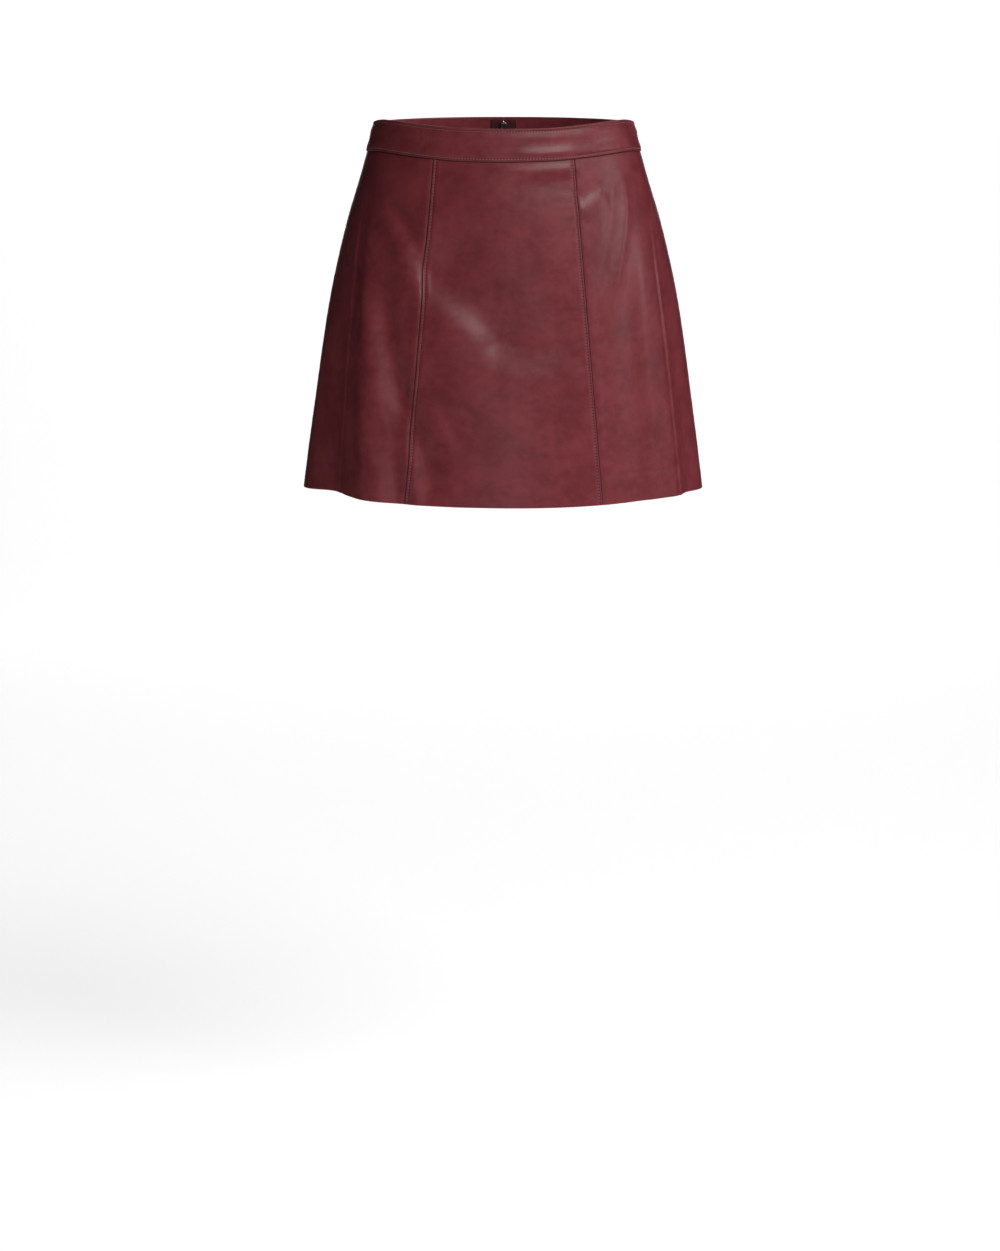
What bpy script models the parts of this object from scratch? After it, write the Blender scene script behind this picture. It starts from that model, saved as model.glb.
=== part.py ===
"""An A-line leather mini skirt in the form it has when it is worn.

Metres, +Z up, the front facing -Y. The origin is the middle of the waistband: midway between the sides, on the
line of the side seams, and half way up the band at the centre front.

A place on the cloth is a turn, a drop and an inset. The turn is in degrees about the body: 0 at the centre
front, 90 at the side on +X and 180 at the centre back. The drop is how far down the cloth it lies, from the top
edge of the waistband. The inset is how deep it lies under the outer face.
"""

import math
from collections import namedtuple

import bmesh
import bpy
from mathutils import Matrix, Vector

# Lengths down the skirt.
BAND_TOP = 0.0175
BAND_HEIGHT_SIDE = 0.0318
BAND_DIP_FRONT = 0.0027
HEM_DROP = 0.395
HEM_TURN_UP = 0.030

# Thicknesses of the leather and of what is folded or glued behind it.
PANEL_THICK = 0.0012
TURNED_EXTRA = 0.0010
FRONT_SEAM_EXTRA = 0.0018
BAND_THICK = 0.0026
BAND_PROUD = 0.0004

# Seams.
SEAM_GAP = 0.0003
SEAM_MARGIN = 0.009
EDGE_STEP = 0.0006
FRONT_SEAM_AT_BAND = 0.0742
FRONT_SEAM_AT_HEM = 0.1046
FRONT_SEAM_TOP_DROP = 0.035

# The concealed zip at the centre back.
ZIP_GAP = 0.0016
ZIP_END_DROP = 0.186
ZIP_GAP_CLOSES = 0.012
TAPE_TOP_DROP = 0.003
TAPE_WIDTH = 0.013
TAPE_THICK = 0.0010
TAPE_INSET = 0.0026
STOP_DROP = 0.178
STOP_SIZE = (0.0050, 0.0010, 0.0034)
STOP_ROUNDING = 0.0002

# The slider, whose fin comes out between the leather edges, and the pull on its pin.
PIN_DROP = 0.0090
PIN_OUT = 0.0024
PIN_RADIUS = 0.0005
FIN_THICK = 0.0010
FIN_NOSE_RADIUS = 0.0022
FIN_HOLE_RADIUS = 0.0008
FIN_ROOT = 0.0010
SLIDER_SIZE = (0.0062, 0.0030, 0.0100)
SLIDER_BELOW_PIN = 0.0010
SLIDER_ROUNDING = 0.0007
PULL_EAR_RADIUS = 0.0014
PULL_EAR_THICK = 0.0010
PULL_EAR_TO_PLATE = 0.0008
PULL_NECK_GAP = 0.0005
PULL_THICK = 0.0012
PIN_END_INSIDE_EAR = 0.0002
STEM_INSIDE_PLATE = 0.0001

# The pull's outline: half its width, by how far down from the pin.
PullWidth = namedtuple("PullWidth", "down half_width")
PULL_WIDTHS = (
    PullWidth(0.0027, 0.0018),
    PullWidth(0.0060, 0.0018),
    PullWidth(0.0110, 0.0021),
    PullWidth(0.0160, 0.0028),
    PullWidth(0.0205, 0.0034),
    PullWidth(0.0235, 0.0030),
    PullWidth(0.0255, 0.0014),
)

# How many columns and rows of faces each piece has.
COLUMNS = {"band_front": 32, "band_back": 16, "front_centre": 14, "front_side": 16, "back": 20}
PANEL_ROWS = 15
BAND_ROWS = 4
FOLD_STEPS = 4
TAPE_ROWS = 12

# The outline of the body of the skirt, by drop: half its width, and how far its front and its back stand from
# the line of the side seams.
Section = namedtuple("Section", "drop half_width front_depth back_depth")
SECTIONS = (
    Section(0.000, 0.1391, 0.1036, 0.0976),
    Section(0.015, 0.1424, 0.1052, 0.0992),
    Section(0.033, 0.1467, 0.1072, 0.1020),
    Section(0.060, 0.1542, 0.1120, 0.1085),
    Section(0.100, 0.1664, 0.1195, 0.1200),
    Section(0.145, 0.1778, 0.1262, 0.1305),
    Section(0.190, 0.1872, 0.1318, 0.1370),
    Section(0.240, 0.1952, 0.1372, 0.1408),
    Section(0.290, 0.2021, 0.1420, 0.1435),
    Section(0.345, 0.2097, 0.1466, 0.1462),
    Section(0.395, 0.2160, 0.1505, 0.1490),
)

# How much higher the waist rides over the hip bones than at the centre front and the side seams.
Rise = namedtuple("Rise", "turn height")
RISES = (
    Rise(0, 0.0),
    Rise(20, 0.0006),
    Rise(30, 0.0019),
    Rise(40, 0.0034),
    Rise(50, 0.0049),
    Rise(60, 0.0056),
    Rise(68, 0.0053),
    Rise(76, 0.0036),
    Rise(90, 0.0),
    Rise(110, -0.0012),
    Rise(180, -0.0020),
)
RISE_LEFT_AT_HEM = 0.2

# The large soft folds. Each runs from turn_top, where it starts at the drop named start, to turn_hem, and is
# spread degrees wide to each side. Its depth at the hem is negative for a hollow.
Fold = namedtuple("Fold", "turn_top turn_hem spread depth start")
FOLDS = (
    Fold(-70, -63, 9.5, -0.0125, 0.060),
    Fold(-54, -46, 8, 0.0060, 0.080),
    Fold(-88, -90, 7, 0.0015, 0.120),
    Fold(12, 13, 12, 0.0035, 0.150),
    Fold(46, 50, 11, -0.0050, 0.120),
    Fold(58, 61.5, 4.5, 0.0034, 0.060),
    Fold(69, 71, 6.5, -0.0075, 0.090),
    Fold(112, 118, 12, -0.0080, 0.130),
    Fold(140, 137, 9, 0.0040, 0.160),
    Fold(158, 160, 9, -0.0060, 0.170),
    Fold(-119, -124, 12, -0.0090, 0.110),
    Fold(-141, -144, 9, 0.0045, 0.180),
    Fold(-163, -161, 8, -0.0045, 0.150),
)

NUDGE_TURN = 0.05
NUDGE_DROP = 0.0002


def read_curve(rows, field, at):
    """A table's column, read at a value of its first column, on a smooth curve through the rows."""
    keys = [row[0] for row in rows]
    values = [getattr(row, field) for row in rows]
    last = len(rows) - 1
    if at >= keys[last]:
        return values[last]
    i = max(k for k in range(last) if keys[k] <= max(at, keys[0]))
    steepness = []
    for k in (i, i + 1):
        before, after = max(k - 1, 0), min(k + 1, last)
        steepness.append((values[after] - values[before]) / (keys[after] - keys[before]))
    span = keys[i + 1] - keys[i]
    t = (max(at, keys[0]) - keys[i]) / span
    ends = values[i] * (1 + 2 * t) * (1 - t) ** 2 + values[i + 1] * t * t * (3 - 2 * t)
    return ends + span * (steepness[0] * t * (1 - t) ** 2 - steepness[1] * t * t * (1 - t))


def ease(t):
    """0 to 1, level at both ends."""
    t = min(max(t, 0.0), 1.0)
    return t * t * (3 - 2 * t)


def fold_push(turn, drop):
    """How far the folds move the cloth out."""
    push = 0.0
    for fold in FOLDS:
        down = min(max(drop - fold.start, 0.0) / (HEM_DROP - fold.start), 1.0)
        middle = fold.turn_top + (fold.turn_hem - fold.turn_top) * drop / HEM_DROP
        off = (turn - middle + 180) % 360 - 180
        push += fold.depth * math.exp(-0.5 * (off / fold.spread) ** 2) * ease(down) ** 0.5 * down
    return push


def outer_face(turn, drop):
    """A point of the cloth's outer face."""
    angle = math.radians(turn)
    side, front = math.sin(angle), math.cos(angle)
    half_width = read_curve(SECTIONS, "half_width", drop)
    depth = read_curve(SECTIONS, "front_depth" if front > 0 else "back_depth", drop)
    out = Vector((depth * side, -half_width * front, 0)).normalized()
    point = Vector((half_width * side, -depth * front, BAND_TOP - drop)) + out * fold_push(turn, drop)
    around = abs((turn + 180) % 360 - 180)
    point.z += read_curve(RISES, "height", around) * (1 - (1 - RISE_LEFT_AT_HEM) * drop / HEM_DROP)
    return point


def cloth_point(turn, drop, inset):
    """A point at an inset under the outer face, square to it."""
    point = outer_face(turn, drop)
    along = outer_face(turn + NUDGE_TURN, drop) - outer_face(turn - NUDGE_TURN, drop)
    down = outer_face(turn, drop + NUDGE_DROP) - outer_face(turn, drop - NUDGE_DROP)
    return point - down.cross(along).normalized() * inset


def degrees_over(turn, drop, length):
    """The turn that a length along the cloth takes up."""
    along = outer_face(turn + NUDGE_TURN, drop) - outer_face(turn - NUDGE_TURN, drop)
    return length * 2 * NUDGE_TURN / along.length


def back_slope(drop):
    """How far the centre back leans out from upright, in radians, and so how a piece on it is turned."""
    down = outer_face(180, drop + NUDGE_DROP) - outer_face(180, drop - NUDGE_DROP)
    return math.atan2(down.y, -down.z)


def band_height(turn):
    return BAND_HEIGHT_SIDE + BAND_DIP_FRONT * max(0.0, math.cos(math.radians(turn)))


def front_seam(drop):
    """The turn of the right front seam, which runs straight from the band to the hem."""
    down = (drop - FRONT_SEAM_TOP_DROP) / (HEM_DROP - FRONT_SEAM_TOP_DROP)
    across = FRONT_SEAM_AT_BAND + (FRONT_SEAM_AT_HEM - FRONT_SEAM_AT_BAND) * down
    return math.degrees(math.asin(across / read_curve(SECTIONS, "half_width", drop)))


def left_front_seam(drop):
    return -front_seam(drop)


def right_side_seam(drop):
    return 90


def left_side_seam(drop):
    return -90


def left_side_seam_from_behind(drop):
    return 270


def back_seam(drop):
    return 180


def plain_gap(drop):
    """Half the gap at a seam that is sewn shut."""
    return SEAM_GAP / 2


def back_gap(drop):
    """Half the gap between the centre back edges, which stand apart for the zip and close below it."""
    closed = ease((drop - ZIP_END_DROP + ZIP_GAP_CLOSES) / ZIP_GAP_CLOSES)
    return (ZIP_GAP + (SEAM_GAP - ZIP_GAP) * closed) / 2


def material(name, colour, roughness, metallic):
    made = bpy.data.materials.new(name)
    made.use_nodes = True
    shader = made.node_tree.nodes["Principled BSDF"]
    shader.inputs["Base Color"].default_value = (*colour, 1)
    shader.inputs["Roughness"].default_value = roughness
    shader.inputs["Metallic"].default_value = metallic
    return made


def add_object(name, bm, finish):
    """Makes a named object of a closed mesh, smooth but for its edges."""
    bmesh.ops.recalc_face_normals(bm, faces=bm.faces)
    mesh = bpy.data.meshes.new(name)
    bm.to_mesh(mesh)
    bm.free()
    mesh.shade_smooth()
    mesh.set_sharp_from_angle(angle=math.radians(40))
    mesh.materials.append(finish)
    made = bpy.data.objects.new(name, mesh)
    bpy.context.scene.collection.objects.link(made)
    return made


def loft(name, rings, finish):
    """A closed solid through rings that each run down one face of a wall and back up the other."""
    bm = bmesh.new()
    loops = [[bm.verts.new(point) for point in ring] for ring in rings]
    count = len(rings[0])
    for one, two in zip(loops, loops[1:]):
        for k in range(count):
            after = (k + 1) % count
            bm.faces.new((one[k], one[after], two[after], two[k]))
    for loop in (loops[0], loops[-1]):
        for k in range(count // 2 - 1):
            bm.faces.new((loop[k], loop[k + 1], loop[count - 2 - k], loop[count - 1 - k]))
        if count % 2:
            middle = count // 2
            bm.faces.new((loop[middle - 1], loop[middle], loop[middle + 1]))
    return add_object(name, bm, finish)


def spread(first, last, steps):
    """Values from first to last, evenly spaced."""
    return [first + (last - first) * k / steps for k in range(steps + 1)]


def waistband(name, turn_from, turn_to, gap_from, gap_to, columns, finish):
    """A stretch of the band: leather folded over at the top, so its section is a wall with a round top edge."""
    start = turn_from + degrees_over(turn_from, BAND_HEIGHT_SIDE / 2, gap_from)
    end = turn_to - degrees_over(turn_to, BAND_HEIGHT_SIDE / 2, gap_to)
    fold_radius = BAND_THICK / 2
    rings = []
    for turn in spread(start, end, columns):
        drops = spread(fold_radius, band_height(turn) - SEAM_GAP / 2, BAND_ROWS)
        ring = [cloth_point(turn, drop, -BAND_PROUD) for drop in reversed(drops)]
        for angle in spread(0, math.pi, FOLD_STEPS)[1:-1]:
            over = fold_radius * (1 - math.cos(angle)) - BAND_PROUD
            ring.append(cloth_point(turn, fold_radius * (1 - math.sin(angle)), over))
        ring += [cloth_point(turn, drop, BAND_THICK - BAND_PROUD) for drop in drops]
        rings.append(ring)
    return loft(name, rings, finish)


def seam_edge(seam, drop, gap, inward):
    """Where a panel ends at a seam. Inward is +1 at the edge with the lower turn and -1 at the other."""
    turn = seam(drop)
    return turn + inward * degrees_over(turn, drop, gap(drop))


def panel_turns(panel, drop):
    """The turns of a panel's columns at a drop, with a close pair where a turned-in seam margin ends."""
    low = seam_edge(panel.low_seam, drop, panel.low_gap, 1)
    high = seam_edge(panel.high_seam, drop, panel.high_gap, -1)
    before, after = [], []
    if panel.low_extra:
        before = [low, low + degrees_over(low, drop, SEAM_MARGIN)]
        low = before[-1] + degrees_over(low, drop, EDGE_STEP)
    if panel.high_extra:
        after = [high - degrees_over(high, drop, SEAM_MARGIN), high]
        high = after[0] - degrees_over(high, drop, EDGE_STEP)
    return before + spread(low, high, panel.columns) + after


def panel_thickness(panel, column, count, drop):
    """The wall's thickness, with the turned-in seam margins and the turned-up hem."""
    thick = PANEL_THICK
    if panel.low_extra and column < 2:
        thick += panel.low_extra
    if panel.high_extra and column >= count - 2:
        thick += panel.high_extra
    if drop > HEM_DROP - HEM_TURN_UP:
        thick += TURNED_EXTRA
    return thick


# A panel runs from its low seam to its high seam. Each seam is a turn by drop, and each gap half the space that
# is left at it. The extras are what the turned-in margins add behind the panel's edges.
Panel = namedtuple("Panel", "name low_seam low_gap low_extra high_seam high_gap high_extra columns")


def add_panel(panel, finish):
    body_rows = spread(0, 1, PANEL_ROWS)
    hem_top = HEM_DROP - HEM_TURN_UP
    rings = []
    columns = len(panel_turns(panel, HEM_DROP))
    for column in range(columns):
        top_turn = panel_turns(panel, BAND_HEIGHT_SIDE)[column]
        top = band_height(top_turn) + SEAM_GAP / 2
        drops = [top + (hem_top - top) * row for row in body_rows]
        drops += [hem_top + EDGE_STEP, (hem_top + HEM_DROP) / 2, HEM_DROP]
        outside, inside = [], []
        for drop in drops:
            turn = panel_turns(panel, drop)[column]
            outside.append(cloth_point(turn, drop, 0))
            inside.append(cloth_point(turn, drop, panel_thickness(panel, column, columns, drop)))
        rings.append(outside + inside[::-1])
    return loft(panel.name, rings, finish)


def add_tape(name, side, finish):
    """One zip tape: a strip that lies inside the leather's centre back edge. Side is +1 on +X, -1 on -X."""
    rings = []
    for drop in spread(TAPE_TOP_DROP, ZIP_END_DROP, TAPE_ROWS):
        ring = []
        for off, inset in (
            (ZIP_GAP / 2, TAPE_INSET),
            (ZIP_GAP / 2 + TAPE_WIDTH, TAPE_INSET),
            (ZIP_GAP / 2 + TAPE_WIDTH, TAPE_INSET + TAPE_THICK),
            (ZIP_GAP / 2, TAPE_INSET + TAPE_THICK),
        ):
            turn = 180 - side * degrees_over(180, drop, off)
            ring.append(cloth_point(turn, drop, inset))
        rings.append(ring)
    return loft(name, rings, finish)


def box(bm, centre, size):
    made = bmesh.ops.create_cube(bm, size=1)
    bmesh.ops.scale(bm, vec=size, verts=made["verts"])
    bmesh.ops.translate(bm, vec=centre, verts=made["verts"])
    return made["verts"]


def slab(bm, outline, low_x, high_x):
    """An outline of (y, z) points, as a slab from low_x to high_x."""
    face = bm.faces.new([bm.verts.new((low_x, y, z)) for y, z in outline])
    pushed = bmesh.ops.extrude_face_region(bm, geom=[face])
    corners = [part for part in pushed["geom"] if isinstance(part, bmesh.types.BMVert)]
    bmesh.ops.translate(bm, vec=(high_x - low_x, 0, 0), verts=corners)


def arc(radius, first, last, steps):
    """(y, z) points on a circle about the pin, from one angle to another in degrees, 0 pointing out."""
    angles = [math.radians(angle) for angle in spread(first, last, steps)]
    return [(radius * math.cos(angle), radius * math.sin(angle)) for angle in angles]


def pin_rod(bm, radius, length, sides):
    """A rod about the pin's axis, along X."""
    made = bmesh.ops.create_cone(
        bm, cap_ends=True, segments=sides, radius1=radius, radius2=radius, depth=length
    )
    bmesh.ops.rotate(bm, verts=made["verts"], matrix=Matrix.Rotation(math.radians(90), 3, "Y"))


def boolean(target, other, operation):
    """Joins or cuts a helper object, which is left out of the part."""
    other.parent = target
    other.hide_render = True
    other.display_type = "WIRE"
    change = target.modifiers.new(other.name, "BOOLEAN")
    change.operation = operation
    change.object = other


for left_over in list(bpy.data.objects):
    bpy.data.objects.remove(left_over)

leather = material("burgundy_nappa", (0.130, 0.020, 0.028), 0.42, 0.0)
tape_cloth = material("burgundy_zip_tape", (0.060, 0.012, 0.016), 0.85, 0.0)
metal = material("dark_nickel", (0.32, 0.30, 0.29), 0.32, 1.0)

# Waistband: one front stretch between the side seams, and one on each side from there to the zip.
half_seam = SEAM_GAP / 2
waistband("waistband_front", -90, 90, half_seam, half_seam, COLUMNS["band_front"], leather)
waistband("waistband_back_right", 90, 180, half_seam, ZIP_GAP / 2, COLUMNS["band_back"], leather)
waistband("waistband_back_left", 180, 270, ZIP_GAP / 2, half_seam, COLUMNS["band_back"], leather)

# Panels: a centre front, two side fronts that reach round to the side seams, and two backs.
PANELS = (
    Panel(
        "panel_front_centre",
        left_front_seam,
        plain_gap,
        FRONT_SEAM_EXTRA,
        front_seam,
        plain_gap,
        FRONT_SEAM_EXTRA,
        COLUMNS["front_centre"],
    ),
    Panel(
        "panel_front_right",
        front_seam,
        plain_gap,
        0,
        right_side_seam,
        plain_gap,
        TURNED_EXTRA,
        COLUMNS["front_side"],
    ),
    Panel(
        "panel_front_left",
        left_side_seam,
        plain_gap,
        TURNED_EXTRA,
        left_front_seam,
        plain_gap,
        0,
        COLUMNS["front_side"],
    ),
    Panel(
        "panel_back_right",
        right_side_seam,
        plain_gap,
        TURNED_EXTRA,
        back_seam,
        back_gap,
        TURNED_EXTRA,
        COLUMNS["back"],
    ),
    Panel(
        "panel_back_left",
        back_seam,
        back_gap,
        TURNED_EXTRA,
        left_side_seam_from_behind,
        plain_gap,
        TURNED_EXTRA,
        COLUMNS["back"],
    ),
)
for panel in PANELS:
    add_panel(panel, leather)

# Zip tapes, and the stop clamped over both at their foot.
add_tape("zip_tape_right", 1, tape_cloth)
add_tape("zip_tape_left", -1, tape_cloth)

bm = bmesh.new()
box(bm, (0, -STOP_SIZE[1] / 2, 0), STOP_SIZE)
bmesh.ops.bevel(bm, geom=bm.edges, offset=STOP_ROUNDING, segments=1, affect="EDGES", profile=0.5)
stop = add_object("zip_stop", bm, metal)
stop.location = cloth_point(180, STOP_DROP, TAPE_INSET + TAPE_THICK + SEAM_GAP)
stop.rotation_euler.x = back_slope(STOP_DROP)

# Slider: its body lies inside the tapes, and its fin comes out between the leather edges and holds the pull.
# It is made about the pin, with the leather along Z and out along +Y.
body_face = -(PIN_OUT + TAPE_INSET + TAPE_THICK + SEAM_GAP)
pin_place = cloth_point(180, PIN_DROP, -PIN_OUT)

bm = bmesh.new()
box(bm, (0, body_face - SLIDER_SIZE[1] / 2, -SLIDER_BELOW_PIN), SLIDER_SIZE)
bmesh.ops.bevel(bm, geom=bm.edges, offset=SLIDER_ROUNDING, segments=2, affect="EDGES", profile=0.5)
slider = add_object("zip_slider", bm, metal)
slider.location = pin_place
slider.rotation_euler.x = back_slope(PIN_DROP)

bm = bmesh.new()
fin_root = body_face - FIN_ROOT
nose = arc(FIN_NOSE_RADIUS, -90, 90, 10)
slab(bm, [*nose, (fin_root, FIN_NOSE_RADIUS), (fin_root, -FIN_NOSE_RADIUS)], -FIN_THICK / 2, FIN_THICK / 2)
boolean(slider, add_object("slider_fin", bm, metal), "UNION")

bm = bmesh.new()
pin_rod(bm, FIN_HOLE_RADIUS, 4 * FIN_THICK, 16)
boolean(slider, add_object("slider_hole", bm, metal), "DIFFERENCE")

# Pull: a drop-shaped plate that hangs from a pin through the fin, between two ears. Its origin is on the pin.
ear_inner = FIN_THICK / 2 + SEAM_GAP
ear_outer = ear_inner + PULL_EAR_THICK
ear_foot = -(FIN_NOSE_RADIUS + PULL_NECK_GAP + PULL_EAR_TO_PLATE)

bm = bmesh.new()
edge = [(row.half_width, -row.down) for row in PULL_WIDTHS]
outline = edge + [(-x, z) for x, z in reversed(edge)]
plate = bm.faces.new([bm.verts.new((x, -PULL_THICK / 2, z)) for x, z in outline])
pushed = bmesh.ops.extrude_face_region(bm, geom=[plate])
front_corners = [part for part in pushed["geom"] if isinstance(part, bmesh.types.BMVert)]
bmesh.ops.translate(bm, vec=(0, PULL_THICK, 0), verts=front_corners)
pull = add_object("zip_pull", bm, metal)
pull.location = pin_place
pull.rotation_euler.x = back_slope(PIN_DROP)

stem = PULL_THICK / 2 - STEM_INSIDE_PLATE
ear = [*arc(PULL_EAR_RADIUS, -35, 215, 14), (-stem, ear_foot), (stem, ear_foot)]
for name, low_x, high_x in (
    ("pull_ear_right", ear_inner, ear_outer),
    ("pull_ear_left", -ear_outer, -ear_inner),
):
    bm = bmesh.new()
    slab(bm, ear, low_x, high_x)
    boolean(pull, add_object(name, bm, metal), "UNION")

bm = bmesh.new()
pin_rod(bm, PIN_RADIUS, 2 * (ear_outer - PIN_END_INSIDE_EAR), 12)
boolean(pull, add_object("pull_pin", bm, metal), "UNION")
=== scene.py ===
import math
from collections import namedtuple

import bmesh
import bpy
import numpy as np
from mathutils import Matrix, Vector


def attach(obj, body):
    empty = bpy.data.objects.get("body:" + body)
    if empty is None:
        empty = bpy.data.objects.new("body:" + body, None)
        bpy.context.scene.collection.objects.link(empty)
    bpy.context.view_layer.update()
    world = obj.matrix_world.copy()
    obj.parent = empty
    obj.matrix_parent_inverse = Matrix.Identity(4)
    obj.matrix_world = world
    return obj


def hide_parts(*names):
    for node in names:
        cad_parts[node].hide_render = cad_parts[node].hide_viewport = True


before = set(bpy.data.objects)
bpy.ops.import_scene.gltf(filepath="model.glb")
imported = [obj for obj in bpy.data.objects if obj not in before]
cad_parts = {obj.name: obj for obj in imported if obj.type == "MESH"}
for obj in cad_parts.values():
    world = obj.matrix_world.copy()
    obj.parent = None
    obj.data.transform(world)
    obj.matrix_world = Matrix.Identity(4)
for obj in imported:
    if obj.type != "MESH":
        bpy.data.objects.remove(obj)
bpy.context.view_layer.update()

# ---------------- the worn form
# The skirt is cut from flat leather, and the figure inside gives it its form: an oval that widens from the
# waist to the hem, with a few large folds. A place on it is a turn in degrees (0 at the centre front, 90 at
# the side on +X), a drop in metres from the waistband's top edge, and a lift off the face.
BAND_TOP = 0.0175
HEM_DROP = 0.395

Section = namedtuple("Section", "drop half_width front_depth back_depth")
SECTIONS = (
    Section(0.000, 0.1391, 0.1036, 0.0976),
    Section(0.015, 0.1424, 0.1052, 0.0992),
    Section(0.033, 0.1467, 0.1072, 0.1020),
    Section(0.060, 0.1542, 0.1120, 0.1085),
    Section(0.100, 0.1664, 0.1195, 0.1200),
    Section(0.145, 0.1778, 0.1262, 0.1305),
    Section(0.190, 0.1872, 0.1318, 0.1370),
    Section(0.240, 0.1952, 0.1372, 0.1408),
    Section(0.290, 0.2021, 0.1420, 0.1435),
    Section(0.345, 0.2097, 0.1466, 0.1462),
    Section(0.395, 0.2160, 0.1505, 0.1490),
)

# How much higher the waist rides over the hip bones than at the centre front.
Rise = namedtuple("Rise", "turn height")
RISES = (
    Rise(0, 0.0),
    Rise(20, 0.0006),
    Rise(30, 0.0019),
    Rise(40, 0.0034),
    Rise(50, 0.0049),
    Rise(60, 0.0056),
    Rise(68, 0.0053),
    Rise(76, 0.0036),
    Rise(90, 0.0),
    Rise(110, -0.0012),
    Rise(180, -0.0020),
)
RISE_LEFT_AT_HEM = 0.2

# The large folds. Each lies at turn_top at the waist and at turn_hem at the hem, and begins at the drop named
# start. A hollow has a negative depth.
Fold = namedtuple("Fold", "turn_top turn_hem spread depth start")
FOLDS = (
    Fold(-70, -63, 9.5, -0.0125, 0.060),
    Fold(-54, -46, 8, 0.0060, 0.080),
    Fold(-88, -90, 7, 0.0015, 0.120),
    Fold(12, 13, 12, 0.0035, 0.150),
    Fold(46, 50, 11, -0.0050, 0.120),
    Fold(58, 61.5, 4.5, 0.0034, 0.060),
    Fold(69, 71, 6.5, -0.0075, 0.090),
    Fold(112, 118, 12, -0.0080, 0.130),
    Fold(140, 137, 9, 0.0040, 0.160),
    Fold(158, 160, 9, -0.0060, 0.170),
    Fold(-119, -124, 12, -0.0090, 0.110),
    Fold(-141, -144, 9, 0.0045, 0.180),
    Fold(-163, -161, 8, -0.0045, 0.150),
)

# The small steps over which the slope of the face is taken.
NUDGE_TURN = 0.05
NUDGE_DROP = 0.0002


def read_curve(rows, field, at):
    """A table's column, read at values of its first column, on a smooth curve through the rows."""
    keys = np.array([row[0] for row in rows], float)
    values = np.array([getattr(row, field) for row in rows], float)
    last = len(rows) - 1
    before = np.maximum(np.arange(last + 1) - 1, 0)
    after = np.minimum(np.arange(last + 1) + 1, last)
    steepness = (values[after] - values[before]) / (keys[after] - keys[before])
    at = np.clip(at, keys[0], keys[last])
    i = np.clip(np.searchsorted(keys, at, side="right") - 1, 0, last - 1)
    span = keys[i + 1] - keys[i]
    t = (at - keys[i]) / span
    ends = values[i] * (1 + 2 * t) * (1 - t) ** 2 + values[i + 1] * t * t * (3 - 2 * t)
    return ends + span * (steepness[i] * t * (1 - t) ** 2 - steepness[i + 1] * t * t * (1 - t))


def ease(t):
    """0 to 1, level at both ends."""
    t = np.clip(t, 0.0, 1.0)
    return t * t * (3 - 2 * t)


def wrapped(turn):
    """The same turn, between -180 and 180 degrees."""
    return (turn + 180) % 360 - 180


def fold_push(turn, drop):
    """How far the large folds move the leather out."""
    push = np.zeros(np.broadcast(turn, drop).shape)
    for fold in FOLDS:
        down = np.clip((drop - fold.start) / (HEM_DROP - fold.start), 0.0, 1.0)
        middle = fold.turn_top + (fold.turn_hem - fold.turn_top) * drop / HEM_DROP
        off = wrapped(turn - middle)
        push += fold.depth * np.exp(-0.5 * (off / fold.spread) ** 2) * ease(down) ** 0.5 * down
    return push


def smooth_face(turn, drop):
    """Places on the form's outer face, as an array of points."""
    angle = np.radians(turn)
    side, front = np.sin(angle), np.cos(angle)
    half_width = read_curve(SECTIONS, "half_width", drop)
    depth = np.where(
        front > 0, read_curve(SECTIONS, "front_depth", drop), read_curve(SECTIONS, "back_depth", drop)
    )
    push = fold_push(turn, drop)
    length = np.hypot(depth * side, half_width * front)
    rise = read_curve(RISES, "height", np.abs(wrapped(turn))) * (1 - (1 - RISE_LEFT_AT_HEM) * drop / HEM_DROP)
    x = half_width * side + push * depth * side / length
    y = -depth * front - push * half_width * front / length
    return np.stack([x, y, BAND_TOP - drop + rise], axis=-1)


def step_along(turn, drop):
    """The short way round the face at a place."""
    return smooth_face(turn + NUDGE_TURN, drop) - smooth_face(turn - NUDGE_TURN, drop)


def step_down(turn, drop):
    """The short way down the face at a place."""
    return smooth_face(turn, drop + NUDGE_DROP) - smooth_face(turn, drop - NUDGE_DROP)


def place(turn, drop, lift):
    """Places lifted off the form's outer face, square to it."""
    turn, drop, lift = np.broadcast_arrays(turn, drop, lift)
    out = np.cross(step_down(turn, drop), step_along(turn, drop))
    out /= np.linalg.norm(out, axis=-1, keepdims=True)
    return smooth_face(turn, drop) + out * lift[..., None]


def turn_over(turn, drop, length):
    """The degrees that a length along the leather takes up."""
    return length * 2 * NUDGE_TURN / np.linalg.norm(step_along(turn, drop), axis=-1)


def girth_place(turn, drop):
    """The leather laid nearly flat, in metres: how far round from the centre front, and how far down."""
    radius = (read_curve(SECTIONS, "half_width", drop) + read_curve(SECTIONS, "front_depth", drop)) / 2
    return np.radians(turn) * radius, drop


# ---------------- creases of wear
# Soft nappa pulled between waist, hips and hem takes shallow creases. Each follows a path of places, given as
# a turn in degrees and a drop in millimetres. Its half widths and its height are in millimetres too.

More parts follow.
